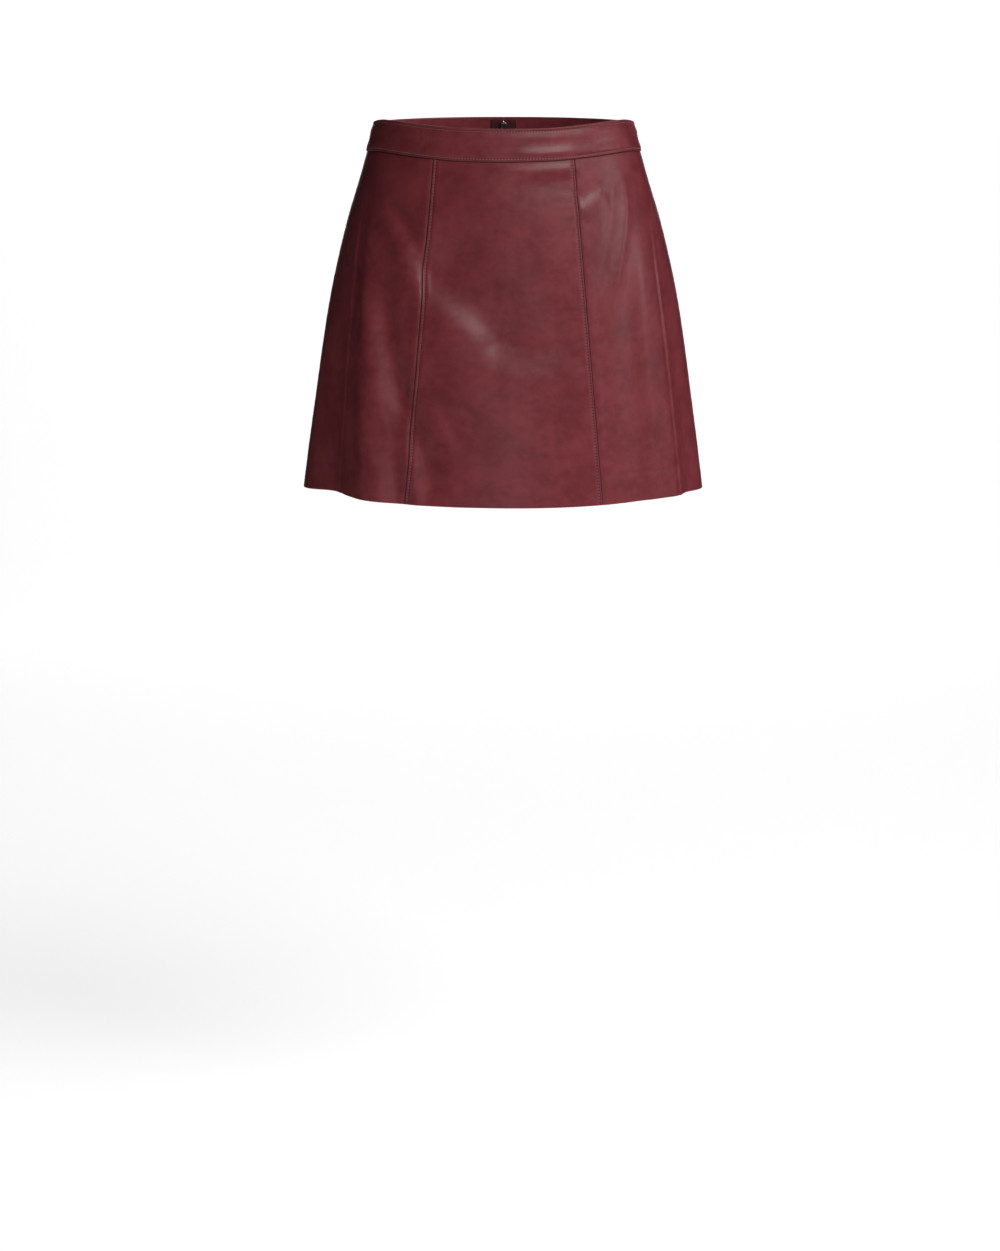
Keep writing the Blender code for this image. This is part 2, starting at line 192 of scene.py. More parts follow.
# Ahead is to the right of a path that runs down, and above one that runs to the right. A trough has a
# negative height. Lean tips the crease's own face ahead, with its crest behind and its trough ahead.
Crease = namedtuple("Crease", "path behind ahead height lean")
CREASES = (
    # From the left hip across to the middle of the front: a soft face, a valley, and the face beside it.
    Crease(((-54, 80), (-48, 92), (-41, 106), (-35, 126), (-30, 150), (-25, 166)), 10, 8, 0, 2.2),
    Crease(((-36, 122), (-23, 143), (-12, 164), (-4, 188), (1, 214), (2.5, 238),
            (3, 264)), 21, 27, -10.6, 0),
    Crease(((-40, 138), (-33, 152), (-27, 169), (-20, 185), (-14, 197), (-9.5, 208), (-6.5, 222),
            (-5.5, 244)), 14, 14, 0, 1.4),
    # Down the left side front: the large fold's corner, a thin line behind it, two tipped faces beside it.
    Crease(((-60, 60), (-56.5, 107), (-53, 161), (-50, 215), (-48, 270), (-45, 330), (-42.5, 395),
            (-40, 480)), 7, 12, 3.6, 0),
    Crease(((-71, 70), (-67, 92), (-63, 136), (-60, 190), (-59, 250), (-58.5, 310), (-57, 400),
            (-56, 480)), 2.4, 2.4, 0, 0.8),
    Crease(((-52, 150), (-46, 190), (-41.5, 235), (-38, 266), (-34, 293), (-30, 320), (-25, 363),
            (-22, 420)), 12, 11, 0, 4),
    Crease(((-42, 230), (-37.5, 310), (-34.5, 370), (-33, 480)), 16, 12, 0, 4.2),
    # On the waistband and under it, right of the middle.
    Crease(((0, 26.6), (16, 26.6), (33, 25.8)), 3.6, 3.8, 0.8, 0),
    Crease(((2, 18), (19, 18), (37, 17.5)), 9, 8, 0, 0.5),
    Crease(((-10, 45.5), (14, 44.5), (36, 43.5)), 4.5, 4.5, 1.3, 0),
    Crease(((-8, 60), (15, 59), (36, 58)), 7, 6, -0.5, 0),
    Crease(((17, 60), (33, 60)), 2.4, 2.4, 0.1, 0),
    Crease(((17, 71), (33, 72)), 2.4, 2.4, 0.1, 0),
    Crease(((17, 80), (33, 84)), 2.4, 2.4, 0.1, 0),
    # The right hip: two tipped faces that meet at the hip and part on the way down, and lines beside them.
    Crease(((27, 86), (35, 76), (44, 66)), 7.5, 7.5, 0, 1),
    Crease(((52, 46), (50.5, 78), (48, 99), (44, 125), (40, 152), (36, 186)), 9, 7, 0, -2),
    Crease(((54, 95), (52, 127), (49.5, 171), (48, 215), (47.5, 259), (47, 297), (47, 340), (46, 400),
            (46, 480)), 12, 11, 0, -1.4),
    Crease(((71, 85), (65.5, 136), (63.3, 180), (63, 257), (63, 330), (62.6, 400),
            (62, 480)), 2.4, 2.2, 0, -0.8),
    # The right side and back: a drag line from the hip, soft lengths from the seat, one under the band.
    Crease(((96, 58), (104, 96), (114, 128), (127, 150)), 11, 10, -1.3, 0.6),
    Crease(((152, 80), (144, 128), (139, 190), (137, 262)), 16, 12, 1.6, 0),
    Crease(((170, 176), (157, 190), (145, 196), (134, 186)), 8, 10, -1.2, 0),
    Crease(((104, 262), (106, 318), (107, 372), (107, 480)), 7, 6, 0.4, 0.9),
    Crease(((158, 250), (161, 310), (162, 365)), 10, 8, 0.9, -0.5),
    Crease(((120, 47), (136, 46), (150, 47)), 4, 4.5, 0.8, 0),
    Crease(((124, 214), (133, 240), (138, 276)), 6, 5, 0, 0.5),
    # The left side and back.
    Crease(((-97, 52), (-107, 88), (-119, 118), (-134, 136)), 10, 12, -1.5, -0.5),
    Crease(((-149, 94), (-142, 150), (-139, 214), (-138, 300)), 13, 15, 1.4, 0),
    Crease(((-172, 186), (-160, 197), (-150, 206)), 7, 9, -1, 0),
    Crease(((-101, 240), (-104, 300), (-106, 360), (-107, 480)), 6, 8, 0.5, -0.8),
    Crease(((-156, 270), (-158, 330), (-158, 400), (-158, 500)), 9, 11, 1, 0.4),
    Crease(((-116, 48), (-130, 47), (-141, 48)), 4.5, 4, 0.9, 0),
    Crease(((-112, 196), (-121, 222), (-126, 254)), 5.5, 6, 0, -0.5),
    # The middle of the front.
    Crease(((-1.5, 190), (-0.8, 240), (-0.5, 300)), 5.5, 5.5, 0, -0.2),
    Crease(((8, 232), (18, 240), (30, 256)), 6, 6, 0, 0.1),
    Crease(((10, 266), (21, 288), (33, 314)), 6, 6, 0, 0.1),
    Crease(((-24, 285), (-17, 311), (-12, 345)), 6.5, 6.5, 0, 0.5),
    Crease(((-28, 330), (-25, 365), (-24, 420)), 6, 7, 0, 0.7),
)
MILLIMETRE = 0.001
CREASE_STEPS = 6
CREASE_ENDS = 0.26
CREASE_REACH = 3.4


def crease_path(crease):
    """The crease's path in the laid-out leather, as a smooth line through its places."""
    turns, drops = np.array(crease.path, float).T
    places = np.stack(girth_place(turns, drops * MILLIMETRE), axis=-1)
    places = np.vstack([2 * places[0] - places[1], places, 2 * places[-1] - places[-2]])
    line = []
    for a, b, c, d in zip(places, places[1:], places[2:], places[3:]):
        for t in np.arange(CREASE_STEPS) / CREASE_STEPS:
            bent = (2 * a - 5 * b + 4 * c - d) * t * t + (3 * b - a - 3 * c + d) * t**3
            line.append(b + ((c - a) * t + bent) / 2)
    line.append(places[-2])
    return np.array(line)


def crease_lift(turn, drop):
    """How far the creases lift the leather."""
    across, down = girth_place(wrapped(turn), drop)
    lift = np.zeros(across.shape)
    for crease in CREASES:
        line = crease_path(crease)
        behind, ahead = crease.behind * MILLIMETRE, crease.ahead * MILLIMETRE
        reach = CREASE_REACH * max(behind, ahead)
        near = (across > line[:, 0].min() - reach) & (across < line[:, 0].max() + reach)
        near &= (down > line[:, 1].min() - reach) & (down < line[:, 1].max() + reach)
        spot = np.stack([across[near], down[near]], axis=-1)[:, None, :]
        run = line[1:] - line[:-1]
        length = np.linalg.norm(run, axis=-1)
        share = np.clip(((spot - line[:-1]) * run).sum(-1) / length**2, 0, 1)
        away = spot - line[:-1] - run * share[..., None]
        far = np.linalg.norm(away, axis=-1)
        nearest = far.argmin(axis=1)
        rows = np.arange(len(nearest))
        away = away[rows, nearest]
        right = away[:, 0] * run[nearest, 1] - away[:, 1] * run[nearest, 0]
        off = far[rows, nearest] * np.sign(right) / np.where(right < 0, behind, ahead)
        start = np.concatenate([[0.0], np.cumsum(length)])
        along = (start[nearest] + share[rows, nearest] * length[nearest]) / start[-1]
        fade = ease(along / CREASE_ENDS) * ease((1 - along) / CREASE_ENDS)
        shape = crease.height * np.exp(-0.5 * off**2) - crease.lean * off * np.exp(0.5 - 0.5 * off**2)
        lift[near] += fade * shape * MILLIMETRE
    return lift


# ---------------- leather
# Aniline-dyed nappa with a thin semi-gloss finish: fine pebbled grain, softly mottled dye and small scuffs.
# The flesh side is a dull short nap. Both sides are one piece of leather.


class Socket:
    """A shader socket or a number, so that shader maths reads as Python."""

    def __init__(self, tree, value):
        self.tree = tree
        self.value = value

    def maths(self, operation, other=0.0):
        return Shader(self.tree).node("ShaderNodeMath", {"operation": operation}, {0: self, 1: other})[0]

    def __add__(self, other):
        return self.maths("ADD", other)

    def __mul__(self, other):
        return self.maths("MULTIPLY", other)

    def __sub__(self, other):
        return self.maths("SUBTRACT", other)

    def __rsub__(self, other):
        return (self * -1.0) + other

    __radd__ = __add__
    __rmul__ = __mul__


class Outputs:
    """A node's outputs, by number or by name."""

    def __init__(self, tree, node):
        self.tree = tree
        self.node = node

    def __getitem__(self, key):
        return Socket(self.tree, self.node.outputs[key])


class Shader:
    """The nodes of one material."""

    def __init__(self, tree):
        self.tree = tree

    def node(self, kind, settings, inputs):
        made = self.tree.nodes.new(kind)
        for name, value in settings.items():
            setattr(made, name, value)
        for key, value in inputs.items():
            if isinstance(value, Socket):
                self.tree.links.new(value.value, made.inputs[key])
            else:
                made.inputs[key].default_value = value
        return Outputs(self.tree, made)

    def mix(self, factor, first, second):
        """A colour between two colours."""
        inputs = {0: factor, 6: first, 7: second}
        return self.node("ShaderNodeMix", {"data_type": "RGBA", "clamp_factor": True}, inputs)[2]

    def between(self, value, low, high):
        """0 at low to 1 at high, smoothly."""
        settings = {"interpolation_type": "SMOOTHSTEP"}
        inputs = {"Value": value, "From Min": low, "From Max": high}
        return self.node("ShaderNodeMapRange", settings, inputs)["Result"]

    def flat_places(self):
        """Where a place lies in the flat cloth, in metres."""
        return self.node("ShaderNodeUVMap", {"uv_map": "flat"}, {})[0]

    def mark(self, name):
        """A value that the mesh carries, such as how worn it is."""
        return self.node("ShaderNodeAttribute", {"attribute_name": name}, {})["Fac"]

    def noise(self, at, scale, detail, roughness=0.5):
        """Soft clouds."""
        inputs = {"Vector": at, "Scale": scale, "Detail": detail, "Roughness": roughness}
        return self.node("ShaderNodeTexNoise", {}, inputs)["Fac"]

    def cells(self, at, scale, feature):
        """Uneven cells, as a distance from their edges or from their middles."""
        inputs = {"Vector": at, "Scale": scale, "Randomness": 1.0}
        return self.node("ShaderNodeTexVoronoi", {"feature": feature}, inputs)["Distance"]

    def relief(self, height, strength, distance, under=None):
        """The normal of a fine relief, on top of another where one is given."""
        inputs = {"Height": height, "Strength": strength, "Distance": distance}
        if under:
            inputs["Normal"] = under
        return self.node("ShaderNodeBump", {}, inputs)["Normal"]


def new_material(name):
    made = bpy.data.materials.new(name)
    made.use_nodes = True
    made.node_tree.nodes.clear()
    return made, Shader(made.node_tree)


def finish_material(shader, inputs):
    """A Principled surface with these inputs."""
    surface = shader.node("ShaderNodeBsdfPrincipled", {}, inputs)
    shader.node("ShaderNodeOutputMaterial", {}, {"Surface": surface[0]})


def colour(red, green, blue):
    return (red, green, blue, 1.0)


def leather_grain_material():
    """The grain side. Its patterns lie in the leather's own flat places, in metres."""
    made, shader = new_material("burgundy_nappa_grain")
    flat = shader.flat_places()
    worn = shader.mark("worn")
    pressed_and_shade = shader.mark("pressed_and_shade")
    clouds = shader.noise(flat, scale=26.0, detail=3.0, roughness=0.55)
    mottle = shader.noise(flat, scale=110.0, detail=4.0, roughness=0.6)
    fine = shader.noise(flat, scale=1500.0, detail=2.0)
    wrinkles = shader.noise(flat, scale=34.0, detail=2.0)
    pebbles = shader.cells(flat, scale=1150.0, feature="DISTANCE_TO_EDGE")
    scuffs = shader.cells(flat, scale=30.0, feature="F1")
    valley = 1 - shader.between(pebbles, low=0.0, high=0.16)
    fleck = 1 - shader.between(scuffs, low=0.010, high=0.050)

    tone = shader.between(clouds * 0.6 + mottle * 0.4, low=0.34, high=0.66)
    dye = shader.mix(tone, colour(0.200, 0.0310, 0.0390), colour(0.280, 0.0480, 0.0580))
    # Painted shade: where the leather is pressed, in stitch holes and grooves, along folded edges, under the
    # band and on the dart lines, it is darkened nearly to black. Pressing also makes it duller.
    dye = shader.mix(pressed_and_shade * 0.75, dye, colour(0.055, 0.0050, 0.0070))
    dye = shader.mix(worn * 0.35, dye, colour(0.230, 0.060, 0.068))
    dye = shader.mix(fleck * 0.30, dye, colour(0.300, 0.120, 0.110))

    soft = shader.relief(wrinkles, strength=1.0, distance=0.0005)
    grain = fine * 0.35 - valley * 0.5 + mottle * 2.2
    finish_material(
        shader,
        {
            "Base Color": dye,
            "Roughness": mottle * 0.18 + clouds * 0.10 + 0.20 - worn * 0.06 + pressed_and_shade * 0.35,
            "Specular IOR Level": 0.36,
            "Coat Weight": 0.05,
            "Coat Roughness": 0.30,
            "Normal": shader.relief(grain, strength=0.55, distance=0.00012, under=soft),
        },
    )
    return made


def leather_flesh_material():
    """The flesh side: a short dull nap."""
    made, shader = new_material("burgundy_nappa_flesh")
    flat = shader.flat_places()
    nap = shader.noise(flat, scale=700.0, detail=4.0, roughness=0.7)
    patches = shader.noise(flat, scale=45.0, detail=3.0, roughness=0.6)
    dye = shader.mix(patches * 0.6 + nap * 0.4, colour(0.085, 0.026, 0.028), colour(0.170, 0.062, 0.062))
    bump = shader.relief(nap, strength=0.8, distance=0.0003)
    finish_material(shader, {"Base Color": dye, "Roughness": 0.92, "Specular IOR Level": 0.2, "Normal": bump})
    return made


LEATHER_SIDES = (leather_grain_material(), leather_flesh_material())


# ---------------- how a leather piece is shaped
# Each piece is cut from 1.1 mm leather. Its edges are folded under and glued or sewn, so they turn down into
# the seams as a small round, and the turned margin shows as a second layer inside.
LEATHER = 0.0011
SEAM_HALF_GAP = 0.00015
MARGIN = 0.009
MARGIN_STEP = 0.00035
STITCH_PITCH = 0.0032
EDGE_COLUMNS = (
    0.0, 0.00012, 0.0003, 0.0006, 0.0010, 0.0015, 0.0020, 0.0023, 0.0026, 0.0029, 0.0032, 0.0036, 0.0045,
    0.0065, 0.0082, MARGIN, MARGIN + MARGIN_STEP, 0.0115,
)

Profile = namedtuple("Profile", "off lift")


def profile(*rows):
    """How far a face is lifted at a distance from its folded edge, both given in millimetres."""
    return [Profile(off * MILLIMETRE, lift * MILLIMETRE) for off, lift in rows]


TOPSTITCHED = profile((0, 0.3), (1.6, 0.6), (2.9, 0), (5, 0.4), (10, 0.1), (15, 0))
TUCKED = profile((0, -0.4), (2.2, 0.3), (5, 0.5), (11, 0.1), (16, 0))
PRESSED = profile((0, -0.2), (2, 0.1), (8, 0.2), (11, 0), (15, 0))
FOLD_ROUND = 0.0007

# A row of stitches: its place, the groove that it pulls, its holes, and how both press the grain. The
# pressing also darkens the grooves, the holes and the folded edges with painted shade.
STITCH_OFF = 0.0029
STITCH_GROOVE = 0.0002
STITCH_HOLE = 0.00035
GROOVE_WIDTH = 0.0006
GROOVE_PRESSED_AND_SHADE = 0.25
HOLE_PRESSED_AND_SHADE = 0.75
FOLD_PRESSED_AND_SHADE_REACH = 0.0005

# On their inner side the edges of two pieces are sewn together: they lean over the gap and just meet.
SEWN_TOGETHER = SEAM_HALF_GAP + 0.00002
SEWN_REACH = 0.0003


def hump(at, middle, width):
    """1 at the middle, falling away softly on both sides."""
    return np.exp(-(((at - middle) / width) ** 2))


def beside(off, reach):
    """1 on an edge, fading away beside it."""
    return np.exp(-off / reach)


# Where an edge is rubbed: how far in from it, how wide and how much.
Rubbed = namedtuple("Rubbed", "off width share")


def rub(off, rubbed):
    """How worn the grain is at a distance from an edge."""
    return rubbed.share * hump(off, rubbed.off, rubbed.width)


def turned_edge(off, radius):
    """The round over which a folded edge turns down, as a negative lift."""
    inside = np.clip(radius - off, 0.0, radius)
    return np.sqrt(np.maximum(radius**2 - inside**2, 0.0)) - radius


def stitch_marks(groove, hole, depth):
    """How far a row of stitches draws the leather in, and how it presses the grain and darkens it with
    painted shade.
    """
    return groove * (depth + hole * STITCH_HOLE), groove * (GROOVE_PRESSED_AND_SHADE + hole * HOLE_PRESSED_AND_SHADE)


def sewn_turn(turn, drop, off_low, off_high):
    """The turns of a piece's inner side, whose edges meet those of the next pieces."""
    reach = beside(off_high, SEWN_REACH) - beside(off_low, SEWN_REACH)
    return turn + turn_over(turn, drop, reach * SEWN_TOGETHER)


def link_piece(name, mesh):
    """A smooth piece of the scene with this mesh."""
    mesh.shade_smooth()
    piece = bpy.data.objects.new(name, mesh)
    bpy.context.scene.collection.objects.link(piece)
    return piece


def finished_piece(name, bm, finish):
    """A piece made of what has been modelled, in one finish."""
    mesh = bpy.data.meshes.new(name)
    bm.to_mesh(mesh)
    bm.free()
    mesh.materials.append(finish)
    return link_piece(name, mesh)


def closed_wall(name, outside, inside, flat, within, marks, finishes):
    """A closed wall between two sheets of places, each columns by rows by 3. Flat is the same cloth laid
    flat, within says where the inside shows the second finish, and marks are what the grain reads."""
    columns, rows = outside.shape[:2]
    bm = bmesh.new()
    bmesh.ops.create_grid(bm, x_segments=columns - 1, y_segments=rows - 1, size=0.5)
    pushed = bmesh.ops.extrude_face_region(bm, geom=bm.faces[:])
    lifted = [part for part in pushed["geom"] if isinstance(part, bmesh.types.BMVert)]
    bmesh.ops.translate(bm, vec=(0, 0, 1), verts=lifted)
    mesh = bpy.data.meshes.new(name)
    bm.to_mesh(mesh)
    bm.free()

    at = np.empty(len(mesh.vertices) * 3, np.float32)
    mesh.vertices.foreach_get("co", at)
    at = at.reshape(-1, 3)
    column = np.rint((at[:, 0] + 0.5) * (columns - 1)).astype(int)
    row = np.rint((0.5 - at[:, 1]) * (rows - 1)).astype(int)
    outer = at[:, 2] > 0.5
    places = np.where(outer[:, None], outside[column, row], inside[column, row])
    mesh.vertices.foreach_set("co", places.astype(np.float32).ravel())

    # The flat places, the marks and the finishes.
    corners = np.empty(len(mesh.loops), np.int32)
    mesh.loops.foreach_get("vertex_index", corners)
    mesh.uv_layers.new(name="flat").data.foreach_set(
        "uv", flat[column, row][corners].astype(np.float32).ravel()
    )
    for mark, values in marks.items():
        given = np.where(outer, values[column, row], 0.0).astype(np.float32)
        mesh.attributes.new(mark, "FLOAT", "POINT").data.foreach_set("value", given)

    second = (~outer & within[column, row])[corners]
    starts = np.empty(len(mesh.polygons), np.int32)
    mesh.polygons.foreach_get("loop_start", starts)
    all_second = np.minimum.reduceat(second.astype(np.int32), starts)
    mesh.polygons.foreach_set("material_index", all_second)
    for finish in finishes:
        mesh.materials.append(finish)
    mesh.update()

    # The faces point outwards where the wall encloses a positive volume.
    mesh.calc_loop_triangles()
    corner_ids = np.empty(len(mesh.loop_triangles) * 3, np.int32)
    mesh.loop_triangles.foreach_get("vertices", corner_ids)
    a, b, c = (places[corner_ids.reshape(-1, 3)[:, k]] for k in range(3))
    if np.einsum("ij,ij->", a, np.cross(b, c)) < 0:
        mesh.flip_normals()
    return link_piece(name, mesh)


def flat_area(places):
    """The area of a sheet of places, in square metres."""
    down = places[:-1, 1:] - places[:-1, :-1]
    along = places[1:, :-1] - places[:-1, :-1]
    return float(np.linalg.norm(np.cross(down, along), axis=-1).sum())


# ---------------- topstitching
# Lockstitch in burgundy polyester thread, a little lighter than the leather. Each stitch lies in the groove
# that its own pull makes, and goes down through a hole at both of its ends.
STITCH_LENGTH = 0.0024
THREAD_RADIUS = 0.00042
THREAD_ABOVE = 0.00012


def thread_material():
    made, shader = new_material("burgundy_thread")
    at = shader.node("ShaderNodeTexCoord", {}, {})["Object"]
    fibres = shader.noise(at, scale=2600.0, detail=2.0)
    dye = shader.mix(fibres, colour(0.360, 0.110, 0.120), colour(0.560, 0.230, 0.235))
    bump = shader.relief(fibres, strength=0.6, distance=0.0001)
    finish_material(shader, {"Base Color": dye, "Roughness": 0.55, "Specular IOR Level": 0.4, "Normal": bump})
    return made


THREAD = thread_material()


def bead(bm, at):
    """A small round bead, a metre in radius before the matrix shapes and places it."""
    bmesh.ops.create_uvsphere(bm, u_segments=6, v_segments=4, radius=1, matrix=at)


def stitch_row(name, starts, ends):
    """A row of stitches, each a slim bead of thread from its start to its end."""
    bm = bmesh.new()
    for start, end in zip(starts, ends):
        run = Vector(end - start)
        turned = run.to_track_quat("Z", "Y").to_matrix().to_4x4()
        shape = Matrix.Diagonal((THREAD_RADIUS, THREAD_RADIUS, run.length / 2, 1))
        bead(bm, Matrix.Translation(Vector((start + end) / 2)) @ turned @ shape)
    row = finished_piece(name, bm, THREAD)
    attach(row, "root")


# ---------------- skirt panels
# Five panels: a centre front with both front seams topstitched on it, two side fronts that tuck under it, and
# two backs with a dart each. The hem is turned up 30 mm inside and glued, with no stitches.
BAND_HEIGHT_SIDE = 0.0318
BAND_DIP_FRONT = 0.0027
PANEL_LENGTH = HEM_DROP - BAND_HEIGHT_SIDE - BAND_DIP_FRONT
PANEL_MIDDLE_DROP = 0.2
FRONT_SEAM_AT_BAND = 0.0742
FRONT_SEAM_AT_HEM = 0.1046
FRONT_SEAM_TOP_DROP = 0.035
FRONT_SEAM_MARGIN = 0.0018
PLAIN_MARGIN = 0.0010
SEAM_KEPT_STRAIGHT = 0.55
ZIP_HALF_GAP = 0.0008
ZIP_END_DROP = 0.186
ZIP_GAP_CLOSES = 0.012

# The hem: its turn-up and the faint line of it outside, its round fold, and how the large hollow lifts it.
HEM_TURN_UP = 0.030
HEM_TURN_UP_LEATHER = 0.9 * LEATHER
HEM_LINE = 0.00012
HEM_LINE_WIDTH = 0.0025
HEM_ROUND = 0.0011
HEM_WORN = 0.7
HEM_WORN_REACH = 0.0012
HEM_RISE = 0.0038
HEM_RISE_TURN = -58
HEM_RISE_SPREAD = 22

# The rows and columns of a panel's grid.
PANEL_ROWS = 224
ROW_LEAST = 0.0006
COLUMN_STEP = 0.0023
TOP_EDGE = (0.0, 0.0002, 0.0005, 0.0009, 0.0014, 0.0020, 0.0028, 0.0038)
HEM_EDGE = (0.0, 0.00006, 0.0002, 0.00045, 0.0008, HEM_ROUND, 0.0017)

# The uneven pull of a seam's sewing, and how its folded edge is worn and pressed. The pressing also darkens
# the folded edges and the panel's top edge under the band with painted shade.
SEAM_PULL = 0.00022
SEAM_PULL_REACH = 0.006
SEAM_PULL_STARTS = 0.002
HIGH_SIDE_SHIFT = 1.7
SEAM_RUBBED = Rubbed(0.0011, 0.0009, 0.8)
EDGE_PRESSED_AND_SHADE = 0.9
TOP_SINKS = 0.0003
TOP_SINKS_REACH = 0.002
TOP_PRESSED_AND_SHADE_REACH = 0.0008
MOST_LIFT_INSIDE = 0.001

# A waist dart: its seam sinks between two soft sides, and a small pucker stands at its foot. Its seam line
# is pressed and darkened with painted shade.
DART_TURN_TOP = 36.0
DART_TURN_FOOT = 39.0
DART_LENGTH = 0.105
DART_FADE = 0.03
DART_LINE = 0.0007
DART_LINE_REACH = 0.0004
DART_LINE_PRESSED_AND_SHADE = 0.8
DART_SIDES = 0.0003
DART_SIDES_WIDTH = 0.006
DART_PUCKER = 0.0006
DART_PUCKER_WIDTH = 0.012
DART_PUCKER_LENGTH = 0.014
DART_COLUMNS = (
    -0.0045, -0.0028, -0.0017, -0.0010, -0.0005, -0.0002, 0.0, 0.0002, 0.0005, 0.0010, 0.0017, 0.0028, 0.0045,
)


def band_height(turn):
    return BAND_HEIGHT_SIDE + BAND_DIP_FRONT * np.maximum(0.0, np.cos(np.radians(turn)))


def front_seam(drop):
    """The turn of the right front seam, which runs straight from the band to the hem."""
    down = (drop - FRONT_SEAM_TOP_DROP) / (HEM_DROP - FRONT_SEAM_TOP_DROP)
    across = FRONT_SEAM_AT_BAND + (FRONT_SEAM_AT_HEM - FRONT_SEAM_AT_BAND) * down
    return np.degrees(np.arcsin(across / read_curve(SECTIONS, "half_width", drop)))


def left_front_seam(drop):
    """The turn of the left front seam, cut so that the creases that cross it don't bend it to the side."""
    turn = -front_seam(drop)
    return turn + turn_over(turn, drop, SEAM_KEPT_STRAIGHT * crease_lift(turn, drop))


def hung(turn, drop):
    """The drop at which the leather hangs. The large hollow draws the hem up a little."""
    off = wrapped(turn - HEM_RISE_TURN)
    return drop - HEM_RISE * hump(off, 0.0, HEM_RISE_SPREAD) * (drop / HEM_DROP) ** 4


def level(turn):
    """A seam that stays at one turn."""
    return lambda drop: np.full_like(drop, turn)


def zip_gap(drop):
    """Half the space between the centre back edges, which closes below the zip."""
    closed = ease((drop - ZIP_END_DROP + ZIP_GAP_CLOSES) / ZIP_GAP_CLOSES)
    return ZIP_HALF_GAP + (SEAM_HALF_GAP - ZIP_HALF_GAP) * closed


def sewn_gap(drop):
    return np.full_like(drop, SEAM_HALF_GAP)


def panel_rows():
    """The rows of a panel from its top edge to its hem, as shares of its length."""
    even = np.linspace(0.0, PANEL_LENGTH, PANEL_ROWS + 1)
    kept = even[(even > TOP_EDGE[-1] + ROW_LEAST) & (even < PANEL_LENGTH - HEM_EDGE[-1] - ROW_LEAST)]
    turn_up = PANEL_LENGTH - HEM_TURN_UP
    step = np.array([turn_up, turn_up + MARGIN_STEP])
    hem = PANEL_LENGTH - np.array(HEM_EDGE)
    return np.unique(np.concatenate([TOP_EDGE, kept, step, hem])) / PANEL_LENGTH


# A side of a panel: the seam's turn by drop, half the gap at it, its profile, how much the turned margin adds
# inside, and whether it is topstitched.
Side = namedtuple("Side", "seam gap profile margin stitched")
ROW_SHARES = panel_rows()


def side_edge(side, inward, drop):
    """The turn of a panel's folded edge. Inward is 1 on its low side and -1 on its high side."""
    seam = side.seam(drop)
    return seam + inward * turn_over(seam, drop, side.gap(drop))


def column_turns(low, high, drop, darts):
    """The turns of a panel's columns on one row: close together at the edges and the darts, even between."""
    low_edge = side_edge(low, 1, drop)
    high_edge = side_edge(high, -1, drop)
    near_low = [low_edge + turn_over(low_edge, drop, off) for off in EDGE_COLUMNS]
    near_high = [high_edge - turn_over(high_edge, drop, off) for off in reversed(EDGE_COLUMNS)]
    stations = [near_low]
    for dart in darts:
        stations.append([dart(drop) + turn_over(dart(drop), drop, off) for off in DART_COLUMNS])
    stations.append(near_high)
    turns = list(stations[0])
    for before, after in zip(stations, stations[1:]):
        room = (after[0][-1] - before[-1][-1]) / turn_over(before[-1][-1], drop[-1], COLUMN_STEP)
        count = max(int(room), 2)
        turns += [before[-1] + (after[0] - before[-1]) * k / count for k in range(1, count)]
        turns += after
    return np.stack(turns)


# The waves in a row of sewing: how fast they follow each other, how they shift from seam to seam, and their
# height.
Wave = namedtuple("Wave", "pace shift height")
WAVES = (
    Wave(410, 1.0, 1.0),
    Wave(655, 2.1, 0.7),
    Wave(173, 3.7, 0.5),
)


def seam_waves(drop, seed):
    """The uneven pull of a row of sewing, from -1 to 1."""
    waves = sum(wave.height * np.sin(drop * wave.pace + wave.shift * seed) for wave in WAVES)
    return waves / sum(wave.height for wave in WAVES)


def side_shape(side, off, drop, row_hole, seed):
    """The lift beside one edge, with its stitches, how worn the grain is there, and how much it is flattened
    and darkened with painted shade.
    """
    lift = turned_edge(off, FOLD_ROUND) + read_curve(side.profile, "lift", off)
    lift += SEAM_PULL * seam_waves(drop, seed) * beside(off, SEAM_PULL_REACH) * ease(off / SEAM_PULL_STARTS)
    worn = rub(off, SEAM_RUBBED)
    pressed_and_shade = EDGE_PRESSED_AND_SHADE * beside(off, FOLD_PRESSED_AND_SHADE_REACH)
    if side.stitched:
        groove = hump(off, STITCH_OFF, GROOVE_WIDTH)
        drawn, row_pressed_and_shade = stitch_marks(groove, row_hole, STITCH_GROOVE)
        lift -= drawn
        pressed_and_shade = np.maximum(pressed_and_shade, row_pressed_and_shade)
    return lift, worn, pressed_and_shade


def dart_shape(off, from_top):
    """The lift beside a dart, and how its seam line flattens the grain and darkens it with painted shade."""
    held = ease((DART_LENGTH - from_top) / DART_FADE)
    line = held * beside(np.abs(off), DART_LINE_REACH)
    sides = held * hump(off, 0.0, DART_SIDES_WIDTH)
    pucker = hump(off, 0.0, DART_PUCKER_WIDTH) * hump(from_top, DART_LENGTH, DART_PUCKER_LENGTH)
    return DART_SIDES * sides - DART_LINE * line + DART_PUCKER * pucker, DART_LINE_PRESSED_AND_SHADE * line


def panel_places(low, high, darts):
    """A panel's grid, as the turn and the drop of each place, and the turns of both edges on each row."""
    low_seam, high_seam = (side.seam(np.array([PANEL_MIDDLE_DROP]))[0] for side in (low, high))
    base = band_height((low_seam + high_seam) / 2) + SEAM_HALF_GAP
    turn = column_turns(low, high, base + (HEM_DROP - base) * ROW_SHARES, darts)
    top = band_height(turn) + SEAM_HALF_GAP
    drop = top + (HEM_DROP - top) * ROW_SHARES[None, :]
    return turn, drop, side_edge(low, 1, drop), side_edge(high, -1, drop)


